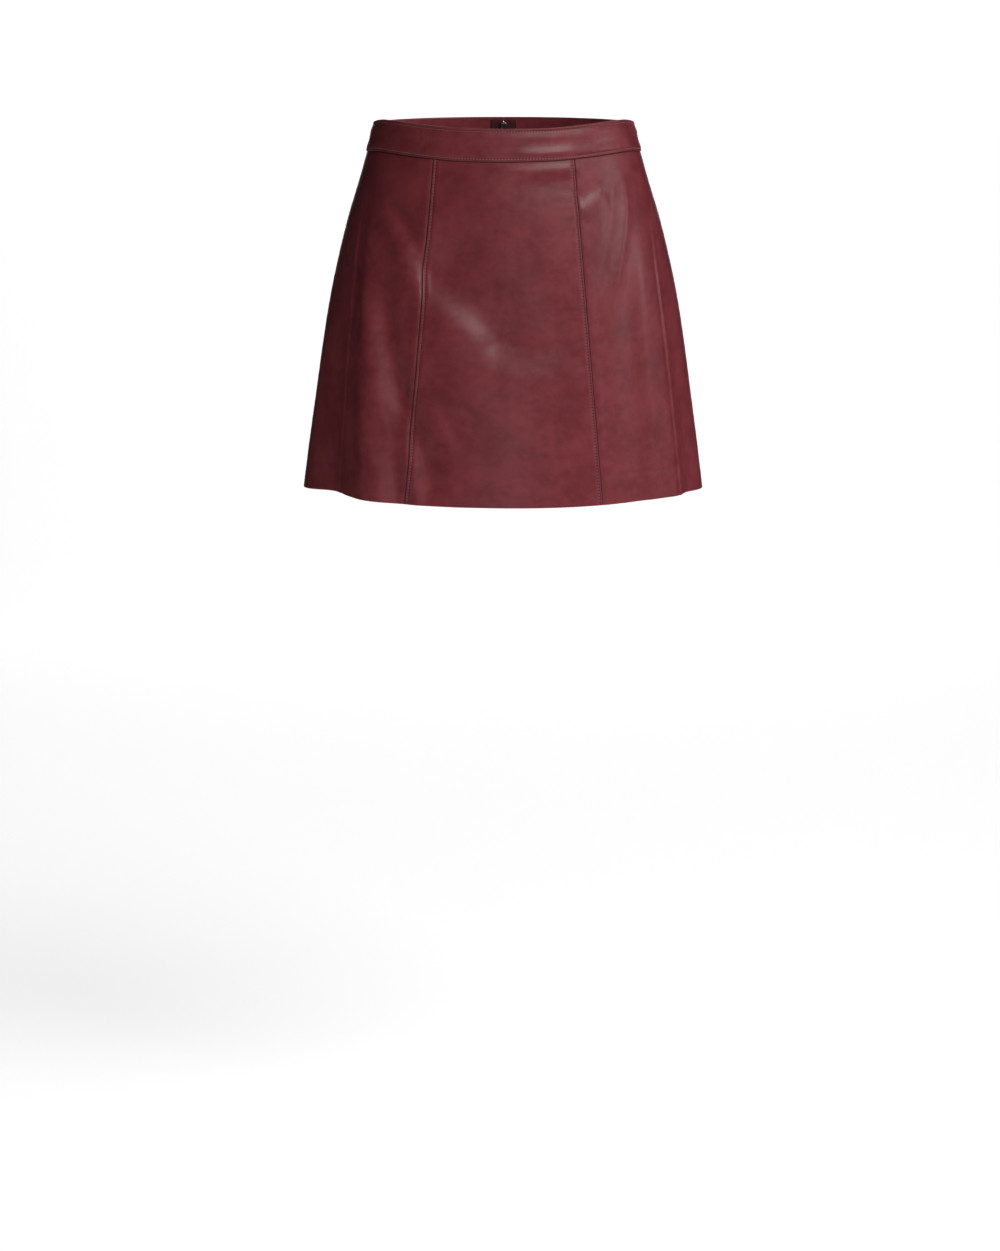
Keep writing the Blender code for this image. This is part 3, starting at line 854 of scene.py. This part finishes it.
def edge_distance(turn, edge, drop):
    """How far places are from an edge, along the leather, true near it."""
    return np.abs(turn - edge) / turn_over(edge, drop, 1.0)


def sewn_places(side, inward, share, seed):
    """Places on a topstitched seam's row of thread, at shares of the panel's length."""
    top = band_height(side.seam(np.array([FRONT_SEAM_TOP_DROP]))) + SEAM_HALF_GAP
    drop = top + (HEM_DROP - top) * share
    edge = side_edge(side, inward, drop)
    turn = edge + inward * turn_over(edge, drop, STITCH_OFF)
    lift = side_shape(side, np.full(drop.shape, STITCH_OFF), drop, 0.0, seed)[0] + crease_lift(turn, drop)
    return place(turn, hung(turn, drop), lift + THREAD_ABOVE)


def sew_panel_side(name, side, inward, seed):
    """The row of thread along one side of a panel. Every second row of the panel's grid is a hole."""
    middles = np.arange(1, PANEL_ROWS - 2, 2) / PANEL_ROWS
    half = STITCH_LENGTH / 2 / PANEL_LENGTH
    starts = sewn_places(side, inward, middles - half, seed)
    ends = sewn_places(side, inward, middles + half, seed)
    stitch_row(name, starts, ends)


def skirt_panel(name, low, high, darts=(), seed=0.0):
    """One panel between two sides, from the waistband to the hem."""
    turn, drop, low_edge, high_edge = panel_places(low, high, darts)
    off_low = edge_distance(turn, low_edge, drop)
    off_high = edge_distance(turn, high_edge, drop)
    from_top = drop - band_height(turn) - SEAM_HALF_GAP
    from_hem = HEM_DROP - drop
    rows = ROW_SHARES * PANEL_ROWS
    on_stitch_end = (np.abs(rows - np.rint(rows)) < 1e-6) & (np.rint(rows) % 2 == 0)
    row_hole = np.broadcast_to(np.where(on_stitch_end, 1.0, 0.0), turn.shape)

    low_lift, low_worn, low_pressed_and_shade = side_shape(low, off_low, drop, row_hole, seed)
    high_lift, high_worn, high_pressed_and_shade = side_shape(high, off_high, drop, row_hole, seed + HIGH_SIDE_SHIFT)
    lift = low_lift + high_lift + crease_lift(turn, drop)
    lift += turned_edge(from_top, FOLD_ROUND) - TOP_SINKS * beside(from_top, TOP_SINKS_REACH)
    lift -= HEM_LINE * hump(from_hem, HEM_TURN_UP, HEM_LINE_WIDTH)
    worn = np.maximum(np.maximum(low_worn, high_worn), HEM_WORN * beside(from_hem, HEM_WORN_REACH))
    # Painted shade darkens the folded edges, the top edge under the band and the stitch holes, where the
    # leather is pressed.
    pressed_and_shade = np.maximum(np.maximum(low_pressed_and_shade, high_pressed_and_shade), beside(from_top, TOP_PRESSED_AND_SHADE_REACH))
    for dart in darts:
        off = (turn - dart(drop)) / turn_over(dart(drop), drop, 1.0)
        dart_lift, dart_pressed_and_shade = dart_shape(off, from_top)
        lift += dart_lift
        pressed_and_shade = np.maximum(pressed_and_shade, dart_pressed_and_shade)

    thickness = np.full(turn.shape, LEATHER)
    for off, side in ((off_low, low), (off_high, high)):
        thickness += side.margin * (1 - ease((off - MARGIN) / MARGIN_STEP))
    thickness += HEM_TURN_UP_LEATHER * (1 - ease((from_hem - HEM_TURN_UP + MARGIN_STEP) / MARGIN_STEP))
    hem_roll = turned_edge(from_hem, HEM_ROUND)
    outside = place(turn, hung(turn, drop), lift + hem_roll)
    turn_inside = sewn_turn(turn, drop, off_low, off_high)
    inside = place(turn_inside, hung(turn, drop), np.minimum(lift, MOST_LIFT_INSIDE) - thickness - hem_roll)

    flat = np.stack(girth_place(turn, drop), axis=-1)
    suede = from_hem > HEM_TURN_UP - MARGIN_STEP / 4
    for off, side in ((off_low, low), (off_high, high)):
        suede &= (off > MARGIN + MARGIN_STEP / 2) | (side.margin == 0)
    piece = closed_wall(name, outside, inside, flat, suede, {"worn": worn, "pressed_and_shade": pressed_and_shade}, LEATHER_SIDES)
    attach(piece, "root")
    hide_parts(name.replace("leather_", ""))
    area = flat_area(outside)
    hem = outside[:, -len(HEM_EDGE) - 1]
    width = float(np.linalg.norm(hem[1:] - hem[:-1], axis=-1).sum())


CENTRE_SEED = 0.4
centre_left = Side(left_front_seam, sewn_gap, TOPSTITCHED, FRONT_SEAM_MARGIN, True)
centre_right = Side(front_seam, sewn_gap, TOPSTITCHED, FRONT_SEAM_MARGIN, True)
skirt_panel("leather_panel_front_centre", centre_left, centre_right, seed=CENTRE_SEED)
sew_panel_side("thread_front_seam_left", centre_left, 1, CENTRE_SEED)
sew_panel_side("thread_front_seam_right", centre_right, -1, CENTRE_SEED + HIGH_SIDE_SHIFT)


def tucked(seam):
    """A side that lies under the centre front."""
    return Side(seam, sewn_gap, TUCKED, 0.0, False)


def pressed_open(turn, gap=sewn_gap):
    """A plain side, with its margin flattened inside."""
    return Side(level(turn), gap, PRESSED, PLAIN_MARGIN, False)


skirt_panel("leather_panel_front_right", tucked(front_seam), pressed_open(90.0), seed=1.3)
skirt_panel("leather_panel_front_left", pressed_open(-90.0), tucked(left_front_seam), seed=2.6)


def dart_right(drop):
    return 180 - DART_TURN_TOP - (DART_TURN_FOOT - DART_TURN_TOP) * drop / HEM_DROP


def dart_left(drop):
    return 360 - dart_right(drop)


centre_back = pressed_open(180.0, zip_gap)
skirt_panel("leather_panel_back_right", pressed_open(90.0), centre_back, (dart_right,), seed=3.1)
skirt_panel("leather_panel_back_left", centre_back, pressed_open(270.0), (dart_left,), seed=4.5)

# ---------------- waistband
# Strips of leather folded in half along their top edge, sewn over the tops of the panels and topstitched near
# both edges. The sewing pulls the band in, so it stands out a little between its two rows.
BAND_THICK = 0.0026
BAND_PROUD = 0.0004
BAND_ROUND = 0.0013
BAND_ROWS = 22
BAND_STITCH_TOP = 0.0034
BAND_STITCH_FOOT = 0.0025
BAND_STITCH_STEPS = (-0.0005, 0.0, 0.0005)
BAND_GROOVE = 0.00030
BAND_HOLE_INSIDE = 0.00015
BAND_FOOT_EDGE = (0.0, 0.00012, 0.0003, 0.0006, 0.0010, 0.0015)
BAND_TOP_EDGE = (0.0, 0.00004, 0.00014, 0.00032, 0.0006, 0.0009, BAND_ROUND, 0.0018)
BAND_ROW_LEAST = 0.0003
ROWS_MERGE = 0.00003

# The band's inner half laps over the panels, and its ends meet over the zip above the slider.
BAND_LAP = 0.0008
BAND_LAP_REACH = 0.0006
ZIP_MEETS_DROP = 0.0060
ZIP_MEETS_OVER = 0.0028
ZIP_MEETS_REACH = 0.004

# Its flat places lie a metre away from the panels' in the hide, so that it has a grain of its own.
BAND_CUT_AWAY = 1.0

# How far the band stands off at a distance from its top edge.
BAND_LIFTS = profile(
    (0, 0.1), (3.4, -0.2), (10, 0.8), (15, 0.5), (20, 0.5), (27, 1.2), (31.5, 0.6), (34.5, 0.2)
)

# The uneven pull of its two rows of sewing: how far from the edge, how high, and how it runs along.
BandWave = namedtuple("BandWave", "off height pace shift")
FOOT_WAVE = BandWave(0.006, 0.00018, 0.0022, 0)
TOP_WAVE = BandWave(0.007, 0.00014, 0.0018, 1)
BAND_WAVE_WIDTH = 0.004

TOP_RUBBED = Rubbed(0.0006, 0.0009, 0.8)
FOOT_RUBBED = Rubbed(0.0010, 0.0008, 0.5)


def band_rows():
    """The rows of the band from its top edge to its foot, as shares of its height."""
    height = BAND_HEIGHT_SIDE
    even = np.linspace(0, height, BAND_ROWS + 1)
    from_top, from_foot = even - BAND_TOP_EDGE[-1], height - BAND_FOOT_EDGE[-1] - even
    kept = even[(from_top > BAND_ROW_LEAST) & (from_foot > BAND_ROW_LEAST)]
    sewn = [row + step for row in (BAND_STITCH_TOP, height - BAND_STITCH_FOOT) for step in BAND_STITCH_STEPS]
    rows = np.sort(np.concatenate([BAND_TOP_EDGE, kept, sewn, height - np.array(BAND_FOOT_EDGE)]))
    return rows[np.diff(rows, prepend=-1.0) > ROWS_MERGE] / height


BAND_SHARES = band_rows()


def band_lift(turn, drop):
    """How far the band stands off the form, before its folds and its sewing."""
    return BAND_PROUD + read_curve(BAND_LIFTS, "lift", drop) + crease_lift(turn, drop)


def waistband(name, turn_from, turn_to, gap_from, gap_to, seed):
    """One strip of the band from a seam to the next, with its two rows of stitches."""
    mid = BAND_HEIGHT_SIDE / 2
    start = turn_from + turn_over(turn_from, mid, gap_from)
    end = turn_to - turn_over(turn_to, mid, gap_to)
    edge = np.array(BAND_FOOT_EDGE)
    first = start + turn_over(start, mid, edge)
    last = end - turn_over(end, mid, edge[::-1])
    length = (last[0] - first[-1]) / turn_over((start + end) / 2, mid, STITCH_PITCH / 2)
    count = int(length) // 2 * 2
    even = np.linspace(first[-1], last[0], count + 1)
    turns = np.concatenate([first[:-1], even, last[1:]])
    holes = np.zeros(len(turns))
    holes[len(first) - 1 : len(first) + count : 2] = 1.0
    turn = np.repeat(turns[:, None], len(BAND_SHARES), axis=1)
    height = band_height(turn) - SEAM_HALF_GAP
    drop = height * BAND_SHARES[None, :]
    from_foot = height - drop
    off_start = edge_distance(turn, start, drop)
    off_end = edge_distance(turn, end, drop)
    hole = np.broadcast_to(holes[:, None], turn.shape)
    drawn = (gap_to - SEAM_HALF_GAP) * beside(off_end, ZIP_MEETS_REACH)
    drawn -= (gap_from - SEAM_HALF_GAP) * beside(off_start, ZIP_MEETS_REACH)
    turn = turn + turn_over(turn, drop, drawn * ease((ZIP_MEETS_DROP - drop) / ZIP_MEETS_OVER))

    top_groove = hump(drop, BAND_STITCH_TOP, GROOVE_WIDTH)
    groove = top_groove + hump(from_foot, BAND_STITCH_FOOT, GROOVE_WIDTH)
    sewn_in, row_pressed_and_shade = stitch_marks(groove, hole, BAND_GROOVE)
    lift = band_lift(turn, drop) - sewn_in
    for off in (from_foot, off_start, off_end):
        lift += turned_edge(off, FOLD_ROUND)
    for off, wave in ((from_foot, FOOT_WAVE), (drop, TOP_WAVE)):
        pull = seam_waves(turn * wave.pace, seed + wave.shift)
        lift += wave.height * pull * hump(off, wave.off, BAND_WAVE_WIDTH)
    fold = turned_edge(drop, BAND_ROUND)
    outside = place(turn, drop, lift + fold)
    turn_inside = sewn_turn(turn, drop, off_start, off_end)
    drop_inside = drop + BAND_LAP * beside(from_foot, BAND_LAP_REACH)
    lift_inside = BAND_PROUD - BAND_THICK - fold + BAND_HOLE_INSIDE * hole * top_groove
    inside = place(turn_inside, drop_inside, lift_inside)

    worn = np.maximum(rub(drop, TOP_RUBBED), rub(from_foot, FOOT_RUBBED))
    # Painted shade darkens the band's folded foot, its cut ends and its stitch rows, where the leather is
    # pressed.
    pressed_and_shade = np.maximum(EDGE_PRESSED_AND_SHADE * beside(from_foot, FOLD_PRESSED_AND_SHADE_REACH), row_pressed_and_shade)
    pressed_and_shade = np.maximum(pressed_and_shade, beside(np.minimum(off_start, off_end), FOLD_PRESSED_AND_SHADE_REACH))
    marks = {"worn": worn, "pressed_and_shade": np.clip(pressed_and_shade, 0, 1)}
    flat = np.stack(girth_place(turn, drop + BAND_CUT_AWAY), axis=-1)
    piece = closed_wall(name, outside, inside, flat, np.zeros(turn.shape, bool), marks, LEATHER_SIDES)
    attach(piece, "root")
    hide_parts(name.replace("leather_", ""))
    area = flat_area(outside)

    step = even[1] - even[0]
    middles = (even[0::2][:-1] + even[1::2][: count // 2]) / 2 + step / 2
    half = step * STITCH_LENGTH / STITCH_PITCH
    for row_name, from_top in (("top", True), ("foot", False)):
        lines = []
        for turns in (middles - half, middles + half):
            height = band_height(turns) - SEAM_HALF_GAP
            drop = np.full(turns.shape, BAND_STITCH_TOP) if from_top else height - BAND_STITCH_FOOT
            lines.append(place(turns, drop, band_lift(turns, drop) - BAND_GROOVE + THREAD_ABOVE))
        stitch_row(name.replace("leather", "thread") + "_" + row_name, *lines)


waistband("leather_waistband_front", -90, 90, SEAM_HALF_GAP, SEAM_HALF_GAP, 0.3)
waistband("leather_waistband_back_right", 90, 180, SEAM_HALF_GAP, ZIP_HALF_GAP, 1.9)
waistband("leather_waistband_back_left", 180, 270, ZIP_HALF_GAP, SEAM_HALF_GAP, 2.8)

# ---------------- zip tapes
# A concealed zip down the centre back. Two woven polyester tapes lie inside the leather edges and are sewn to
# their turned margins.
TAPE_TOP_DROP = 0.003
TAPE_WIDTH = 0.013
TAPE_LIFT = -0.0026
TAPE_THICK = 0.0010
TAPE_ROUND = 0.0003
TAPE_ROWS = 60
TAPE_RIPPLE = 0.00010
TAPE_COLUMNS = (
    0.0, 0.0001, 0.0003, 0.0010, 0.0022, 0.0040, 0.0065, 0.0090, 0.0110, 0.0122, 0.0127, 0.0129, TAPE_WIDTH,
)


def tape_material():
    """A plain weave, half a millimetre to the rib, dyed to match."""
    made, shader = new_material("burgundy_zip_tape")
    flat = shader.flat_places()
    ribs = []
    for direction in ("X", "Y"):
        settings = {"wave_type": "BANDS", "bands_direction": direction}
        ribs.append(shader.node("ShaderNodeTexWave", settings, {"Vector": flat, "Scale": 628.0})["Fac"])
    weave = ribs[0] * ribs[1]
    dye = shader.mix(weave, colour(0.045, 0.008, 0.011), colour(0.135, 0.027, 0.036))
    bump = shader.relief(weave, strength=0.8, distance=0.00015)
    finish_material(shader, {"Base Color": dye, "Roughness": 0.85, "Specular IOR Level": 0.3, "Normal": bump})
    return made


TAPE_CLOTH = tape_material()


def zip_tape(name, side):
    """One tape. Side is 1 on +X and -1 on -X."""
    from_edge = np.array(TAPE_COLUMNS)[:, None]
    drop = np.linspace(TAPE_TOP_DROP, ZIP_END_DROP, TAPE_ROWS + 1)[None, :]
    from_edge, drop = np.broadcast_arrays(from_edge, drop)
    turn = 180 - side * turn_over(180.0, drop, from_edge + ZIP_HALF_GAP)
    rounding = turned_edge(np.minimum(from_edge, TAPE_WIDTH - from_edge), TAPE_ROUND)
    ripple = TAPE_RIPPLE * seam_waves(drop, side) * from_edge / TAPE_WIDTH
    outside = place(turn, drop, TAPE_LIFT + rounding + np.minimum(ripple, 0.0))
    inside = place(turn, drop, TAPE_LIFT - TAPE_THICK - rounding + ripple)
    flat = np.stack([from_edge, drop], axis=-1)
    nowhere = np.zeros(turn.shape, bool)
    tape = closed_wall(name, outside, inside, flat, nowhere, {}, (TAPE_CLOTH,))
    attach(tape, "root")
    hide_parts(name.replace("woven_", ""))


zip_tape("woven_zip_tape_right", 1)
zip_tape("woven_zip_tape_left", -1)

# ---------------- zip coils
# A coil of nylon thread is sewn along the inside of each tape's edge, from the slider down to the stop. The
# loops of the two coils lie in each other's gaps.
COIL_PITCH = 0.0015
COIL_TOP_DROP = 0.0157
COIL_FOOT_DROP = 0.1758
COIL_OFF = 0.0010
COIL_LIFT = -0.0042
COIL_LOOP = (0.0018, 0.00065, 0.00048)


def coil_material():
    made, shader = new_material("burgundy_nylon_coil")
    at = shader.node("ShaderNodeTexCoord", {}, {})["Object"]
    haze = shader.noise(at, scale=900.0, detail=2.0)
    dye = shader.mix(haze, colour(0.050, 0.009, 0.012), colour(0.085, 0.016, 0.021))
    finish_material(shader, {"Base Color": dye, "Roughness": haze * 0.15 + 0.30})
    return made


def back_slope(drop):
    """How far the centre back leans out from upright, in radians."""
    down = step_down(180.0, drop)
    return math.atan2(down[1], -down[2])


def zip_coil(name, side, first_drop, finish):
    """One tape's coil, a bead to each loop. Side is 1 on +X and -1 on -X."""
    bm = bmesh.new()
    for loop in range(int((COIL_FOOT_DROP - first_drop) / COIL_PITCH)):
        drop = first_drop + COIL_PITCH * loop
        turn = 180 - side * float(turn_over(180.0, drop, COIL_OFF))
        middle = Matrix.Translation(Vector(place(turn, drop, COIL_LIFT)))
        bead(bm, middle @ Matrix.Rotation(back_slope(drop), 4, "X") @ Matrix.Diagonal((*COIL_LOOP, 1)))
    coil = finished_piece(name, bm, finish)
    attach(coil, "root")


nylon = coil_material()
zip_coil("zip_coil_right", 1, COIL_TOP_DROP, nylon)
zip_coil("zip_coil_left", -1, COIL_TOP_DROP + COIL_PITCH / 2, nylon)

# ---------------- zip stop
# A short strip of metal, folded and clamped over both coils at the foot of the zip. It keeps the slider from
# running off.
STOP_DROP = 0.178
STOP_LIFT = -0.0039
STOP_SIZE = (0.0050, 0.0010, 0.0034)
STOP_ROUND = 0.00025


def metal_material():
    """Dark nickel plate over die-cast zinc, with fine wear."""
    made, shader = new_material("dark_nickel")
    at = shader.node("ShaderNodeTexCoord", {}, {})["Object"]
    wear = shader.noise(at, scale=700.0, detail=4.0)
    plate = shader.mix(wear, colour(0.26, 0.245, 0.235), colour(0.38, 0.36, 0.345))
    bump = shader.relief(wear, strength=0.3, distance=0.00004)
    inputs = {"Base Color": plate, "Metallic": 1.0, "Roughness": wear * 0.20 + 0.22, "Normal": bump}
    finish_material(shader, inputs)
    return made


NICKEL = metal_material()
SHARP_FROM = math.radians(40)


def round_edges(bm, edges, size, steps=3):
    bmesh.ops.bevel(bm, geom=edges, offset=size, segments=steps, profile=0.5, affect="EDGES", material=-1)


def block(bm, middle, size):
    """A plain box."""
    made = bmesh.ops.create_cube(bm, size=1)["verts"]
    bmesh.ops.scale(bm, vec=size, verts=made)
    bmesh.ops.translate(bm, vec=middle, verts=made)


def metal_piece(name, bm, drop, lift, body):
    """Puts a piece made about its own middle on the centre back, leaning with the leather there."""
    at = Matrix.Translation(Vector(place(180.0, drop, lift))) @ Matrix.Rotation(back_slope(drop), 4, "X")
    bmesh.ops.transform(bm, matrix=at, verts=bm.verts)
    piece = finished_piece(name, bm, NICKEL)
    piece.data.set_sharp_from_angle(angle=SHARP_FROM)
    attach(piece, body)
    return piece


bm = bmesh.new()
block(bm, (0, -STOP_SIZE[1] / 2, 0), STOP_SIZE)
round_edges(bm, bm.edges[:], STOP_ROUND)
stop = metal_piece("metal_zip_stop", bm, STOP_DROP, STOP_LIFT, "root")
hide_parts("zip_stop")

# ---------------- zip slider
# A die-cast slider over the coils. Its body is inside, and its fin comes out between the leather edges to
# hold the pull's pin. It is made about the pin, with the leather along Z and out along +Y.
PIN_DROP = 0.0090
PIN_LIFT = 0.0024
FIN_THICK = 0.0010
FIN_NOSE = 0.0022
FIN_HOLE = 0.0008
SLIDER_FACE = -0.0063
SLIDER_SIZE = (0.0062, 0.0030, 0.0100)
SLIDER_BELOW_PIN = 0.0010
SLIDER_ROUND = 0.0007
SLIDER_RIM = 0.0007
SLIDER_HOLLOW = 0.0003

# The fin's neck goes into the body, leaves the pin's hole free and is a little thinner than its ring.
FIN_SUNK = 0.0006
FIN_FREE = 0.0001
NECK_SHARE = 0.98
QUARTER_TURN = math.radians(90)


def push_out(bm, faces, way):
    """Gives these faces a thickness, out along a vector."""
    pushed = bmesh.ops.extrude_face_region(bm, geom=faces)["geom"]
    far = [part for part in pushed if isinstance(part, bmesh.types.BMVert)]
    bmesh.ops.translate(bm, vec=way, verts=far)


def ring_plate(bm, hole, rim, steps, low_x, high_x):
    """A round plate about the pin, with a hole."""
    inner = bmesh.ops.create_circle(bm, cap_ends=False, radius=hole, segments=steps)["verts"]
    outer = bmesh.ops.create_circle(bm, cap_ends=False, radius=rim, segments=steps)["verts"]
    edges = dict.fromkeys(edge for vert in inner + outer for edge in vert.link_edges)
    ring = bmesh.ops.bridge_loops(bm, edges=list(edges))["faces"]
    bmesh.ops.rotate(bm, verts=inner + outer, matrix=Matrix.Rotation(QUARTER_TURN, 3, "Y"))
    bmesh.ops.translate(bm, vec=(low_x, 0, 0), verts=inner + outer)
    push_out(bm, ring, (high_x - low_x, 0, 0))


bm = bmesh.new()
block(bm, (0, SLIDER_FACE - SLIDER_SIZE[1] / 2, -SLIDER_BELOW_PIN), SLIDER_SIZE)
round_edges(bm, bm.edges[:], SLIDER_ROUND)
bm.faces.ensure_lookup_table()
inner_face = min(bm.faces, key=lambda face: face.calc_center_median().y)
bmesh.ops.inset_individual(bm, faces=[inner_face], thickness=SLIDER_RIM, depth=-SLIDER_HOLLOW)
ring_plate(bm, FIN_HOLE, FIN_NOSE, 24, -FIN_THICK / 2, FIN_THICK / 2)
fin_root = SLIDER_FACE - FIN_SUNK
fin_front = -FIN_HOLE - FIN_FREE
block(bm, (0, (fin_root + fin_front) / 2, 0), (FIN_THICK * NECK_SHARE, fin_front - fin_root, 2 * FIN_NOSE))
bmesh.ops.recalc_face_normals(bm, faces=bm.faces)
slider = metal_piece("metal_zip_slider", bm, PIN_DROP, PIN_LIFT, "root")
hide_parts("zip_slider")

# ---------------- zip pull
# A drop-shaped pull, cast with two ears that hang from a pin through the slider's fin, in the same plated
# zinc. It swings on the pin.
PullWidth = namedtuple("PullWidth", "down half_width")
PULL_WIDTHS = (
    PullWidth(0.0027, 0.0018),
    PullWidth(0.0060, 0.0018),
    PullWidth(0.0110, 0.0021),
    PullWidth(0.0160, 0.0028),
    PullWidth(0.0205, 0.0034),
    PullWidth(0.0235, 0.0030),
    PullWidth(0.0255, 0.0014),
)
PULL_THICK = 0.0012
PULL_ROWS = 14
EAR_RADIUS = 0.0014
EAR_INNER = 0.0008
EAR_OUTER = 0.0018
EAR_NECK_SUNK = 0.0008
EAR_NECK_THICK = 0.0010
EAR_GRIP = 0.9
PULL_ROUND = 0.0003
PULL_RIM_ANGLE = 0.9
PIN_RADIUS = 0.0005
PIN_LENGTH = 0.0032

bm = bmesh.new()
bmesh.ops.create_grid(bm, x_segments=2, y_segments=PULL_ROWS, size=0.5)
pull_top, pull_foot = PULL_WIDTHS[0].down, PULL_WIDTHS[-1].down
for vert in bm.verts:
    down = pull_top + (pull_foot - pull_top) * (0.5 - vert.co.y)
    half_width = float(read_curve(PULL_WIDTHS, "half_width", down))
    vert.co = (2 * vert.co.x * half_width, -PULL_THICK / 2, -down)
push_out(bm, bm.faces[:], (0, PULL_THICK, 0))
bmesh.ops.recalc_face_normals(bm, faces=bm.faces)
rim = [edge for edge in bm.edges if len(edge.link_faces) == 2 and edge.calc_face_angle() > PULL_RIM_ANGLE]
round_edges(bm, rim, PULL_ROUND)
for side in (-1, 1):
    low_x, high_x = sorted((side * EAR_INNER, side * EAR_OUTER))
    ring_plate(bm, PIN_RADIUS * EAR_GRIP, EAR_RADIUS, 20, low_x, high_x)
    foot = -pull_top - EAR_NECK_SUNK
    neck = ((high_x - low_x) * NECK_SHARE, EAR_NECK_THICK, -foot - PIN_RADIUS)
    block(bm, ((low_x + high_x) / 2, 0, (foot - PIN_RADIUS) / 2), neck)
pin = bmesh.ops.create_cone(
    bm, cap_ends=True, segments=12, radius1=PIN_RADIUS, radius2=PIN_RADIUS, depth=PIN_LENGTH
)["verts"]
bmesh.ops.rotate(bm, verts=pin, matrix=Matrix.Rotation(QUARTER_TURN, 3, "Y"))
bmesh.ops.recalc_face_normals(bm, faces=bm.faces)
pull = metal_piece("metal_zip_pull", bm, PIN_DROP, PIN_LIFT, "pull")
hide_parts("zip_pull")

# ---------------- studio
# A white paper sweep, lit as for a catalogue: one large soft light from the front right, and three weak ones
# from both sides and from low in front.
FLOOR_Z = -1.13
studio = bpy.data.materials.new("paper_sweep")
studio.use_nodes = True
paper = studio.node_tree.nodes["Principled BSDF"]
paper.inputs["Base Color"].default_value = colour(0.86, 0.86, 0.86)
paper.inputs["Roughness"].default_value = 0.9
paper.inputs["Emission Color"].default_value = colour(1, 1, 1)
paper.inputs["Emission Strength"].default_value = 0.74

SWEEP_WIDTH = 2.4
SWEEP_FRONT = -1.6
SWEEP_BACK = 3.2
SWEEP_BEND = 1.0
SWEEP_HEIGHT = 3.0

bm = bmesh.new()
bmesh.ops.create_grid(bm, x_segments=1, y_segments=60, size=0.5)
rolled_out = SWEEP_BACK - SWEEP_FRONT + SWEEP_BEND * math.pi / 2 + SWEEP_HEIGHT
bmesh.ops.scale(bm, vec=(SWEEP_WIDTH, rolled_out, 1.0), verts=bm.verts)
bmesh.ops.translate(bm, vec=(0, SWEEP_FRONT + rolled_out / 2, 0), verts=bm.verts)
for vert in bm.verts:
    run = vert.co.y - SWEEP_BACK
    if run > 0:
        bend = min(run / SWEEP_BEND, math.pi / 2)
        vert.co.y = SWEEP_BACK + SWEEP_BEND * math.sin(bend)
        vert.co.z = SWEEP_BEND * (1 - math.cos(bend)) + max(run - SWEEP_BEND * math.pi / 2, 0.0)
bmesh.ops.translate(bm, vec=(0, 0, FLOOR_Z), verts=bm.verts)
sweep = finished_piece("paper_sweep", bm, studio)

# Azimuth 0 is the front and 90 the +X side.
SoftLight = namedtuple("SoftLight", "name azimuth elevation width height power")
SOFT_LIGHTS = (
    SoftLight("key", 37, 40, 1.5, 1.1, 53),
    SoftLight("right_side", 78, 12, 0.9, 0.8, 14),
    SoftLight("left_side", -75, -20, 0.8, 0.8, 2.8),
    SoftLight("floor_bounce", 0, -3, 1.0, 0.8, 5),
)
LIGHT_DISTANCE = 3.2
LIGHTS_LOOK_AT = Vector((0, 0, -0.15))

for lamp in SOFT_LIGHTS:
    data = bpy.data.lights.new(lamp.name, "AREA")
    data.shape = "RECTANGLE"
    data.size = lamp.width
    data.size_y = lamp.height
    data.energy = lamp.power
    light = bpy.data.objects.new(lamp.name, data)
    azimuth, elevation = math.radians(lamp.azimuth), math.radians(lamp.elevation)
    side, front = math.sin(azimuth) * math.cos(elevation), math.cos(azimuth) * math.cos(elevation)
    out = Vector((side, -front, math.sin(elevation)))
    light.location = LIGHTS_LOOK_AT + out * LIGHT_DISTANCE
    light.rotation_euler = out.to_track_quat("Z", "Y").to_euler()
    bpy.context.scene.collection.objects.link(light)

world = bpy.data.worlds.new("studio")
bpy.context.scene.world = world
world.use_nodes = True
surroundings = world.node_tree.nodes["Background"]
surroundings.inputs["Color"].default_value = colour(1, 1, 1)
surroundings.inputs["Strength"].default_value = 0.015

CAMERA_LOOKS_DOWN = 10.424
camera_data = bpy.data.cameras.new("camera")
camera_data.lens = 134.09
camera_data.sensor_width = 36.0
camera_data.sensor_fit = "AUTO"
camera_data.clip_end = 40.0
camera = bpy.data.objects.new("camera", camera_data)
camera.location = (-0.0040, -5.0, 0.3892)
camera.rotation_euler = (math.radians(90 - CAMERA_LOOKS_DOWN), 0, 0)
bpy.context.scene.collection.objects.link(camera)
bpy.context.scene.camera = camera
bpy.context.scene.view_settings.view_transform = "Standard"
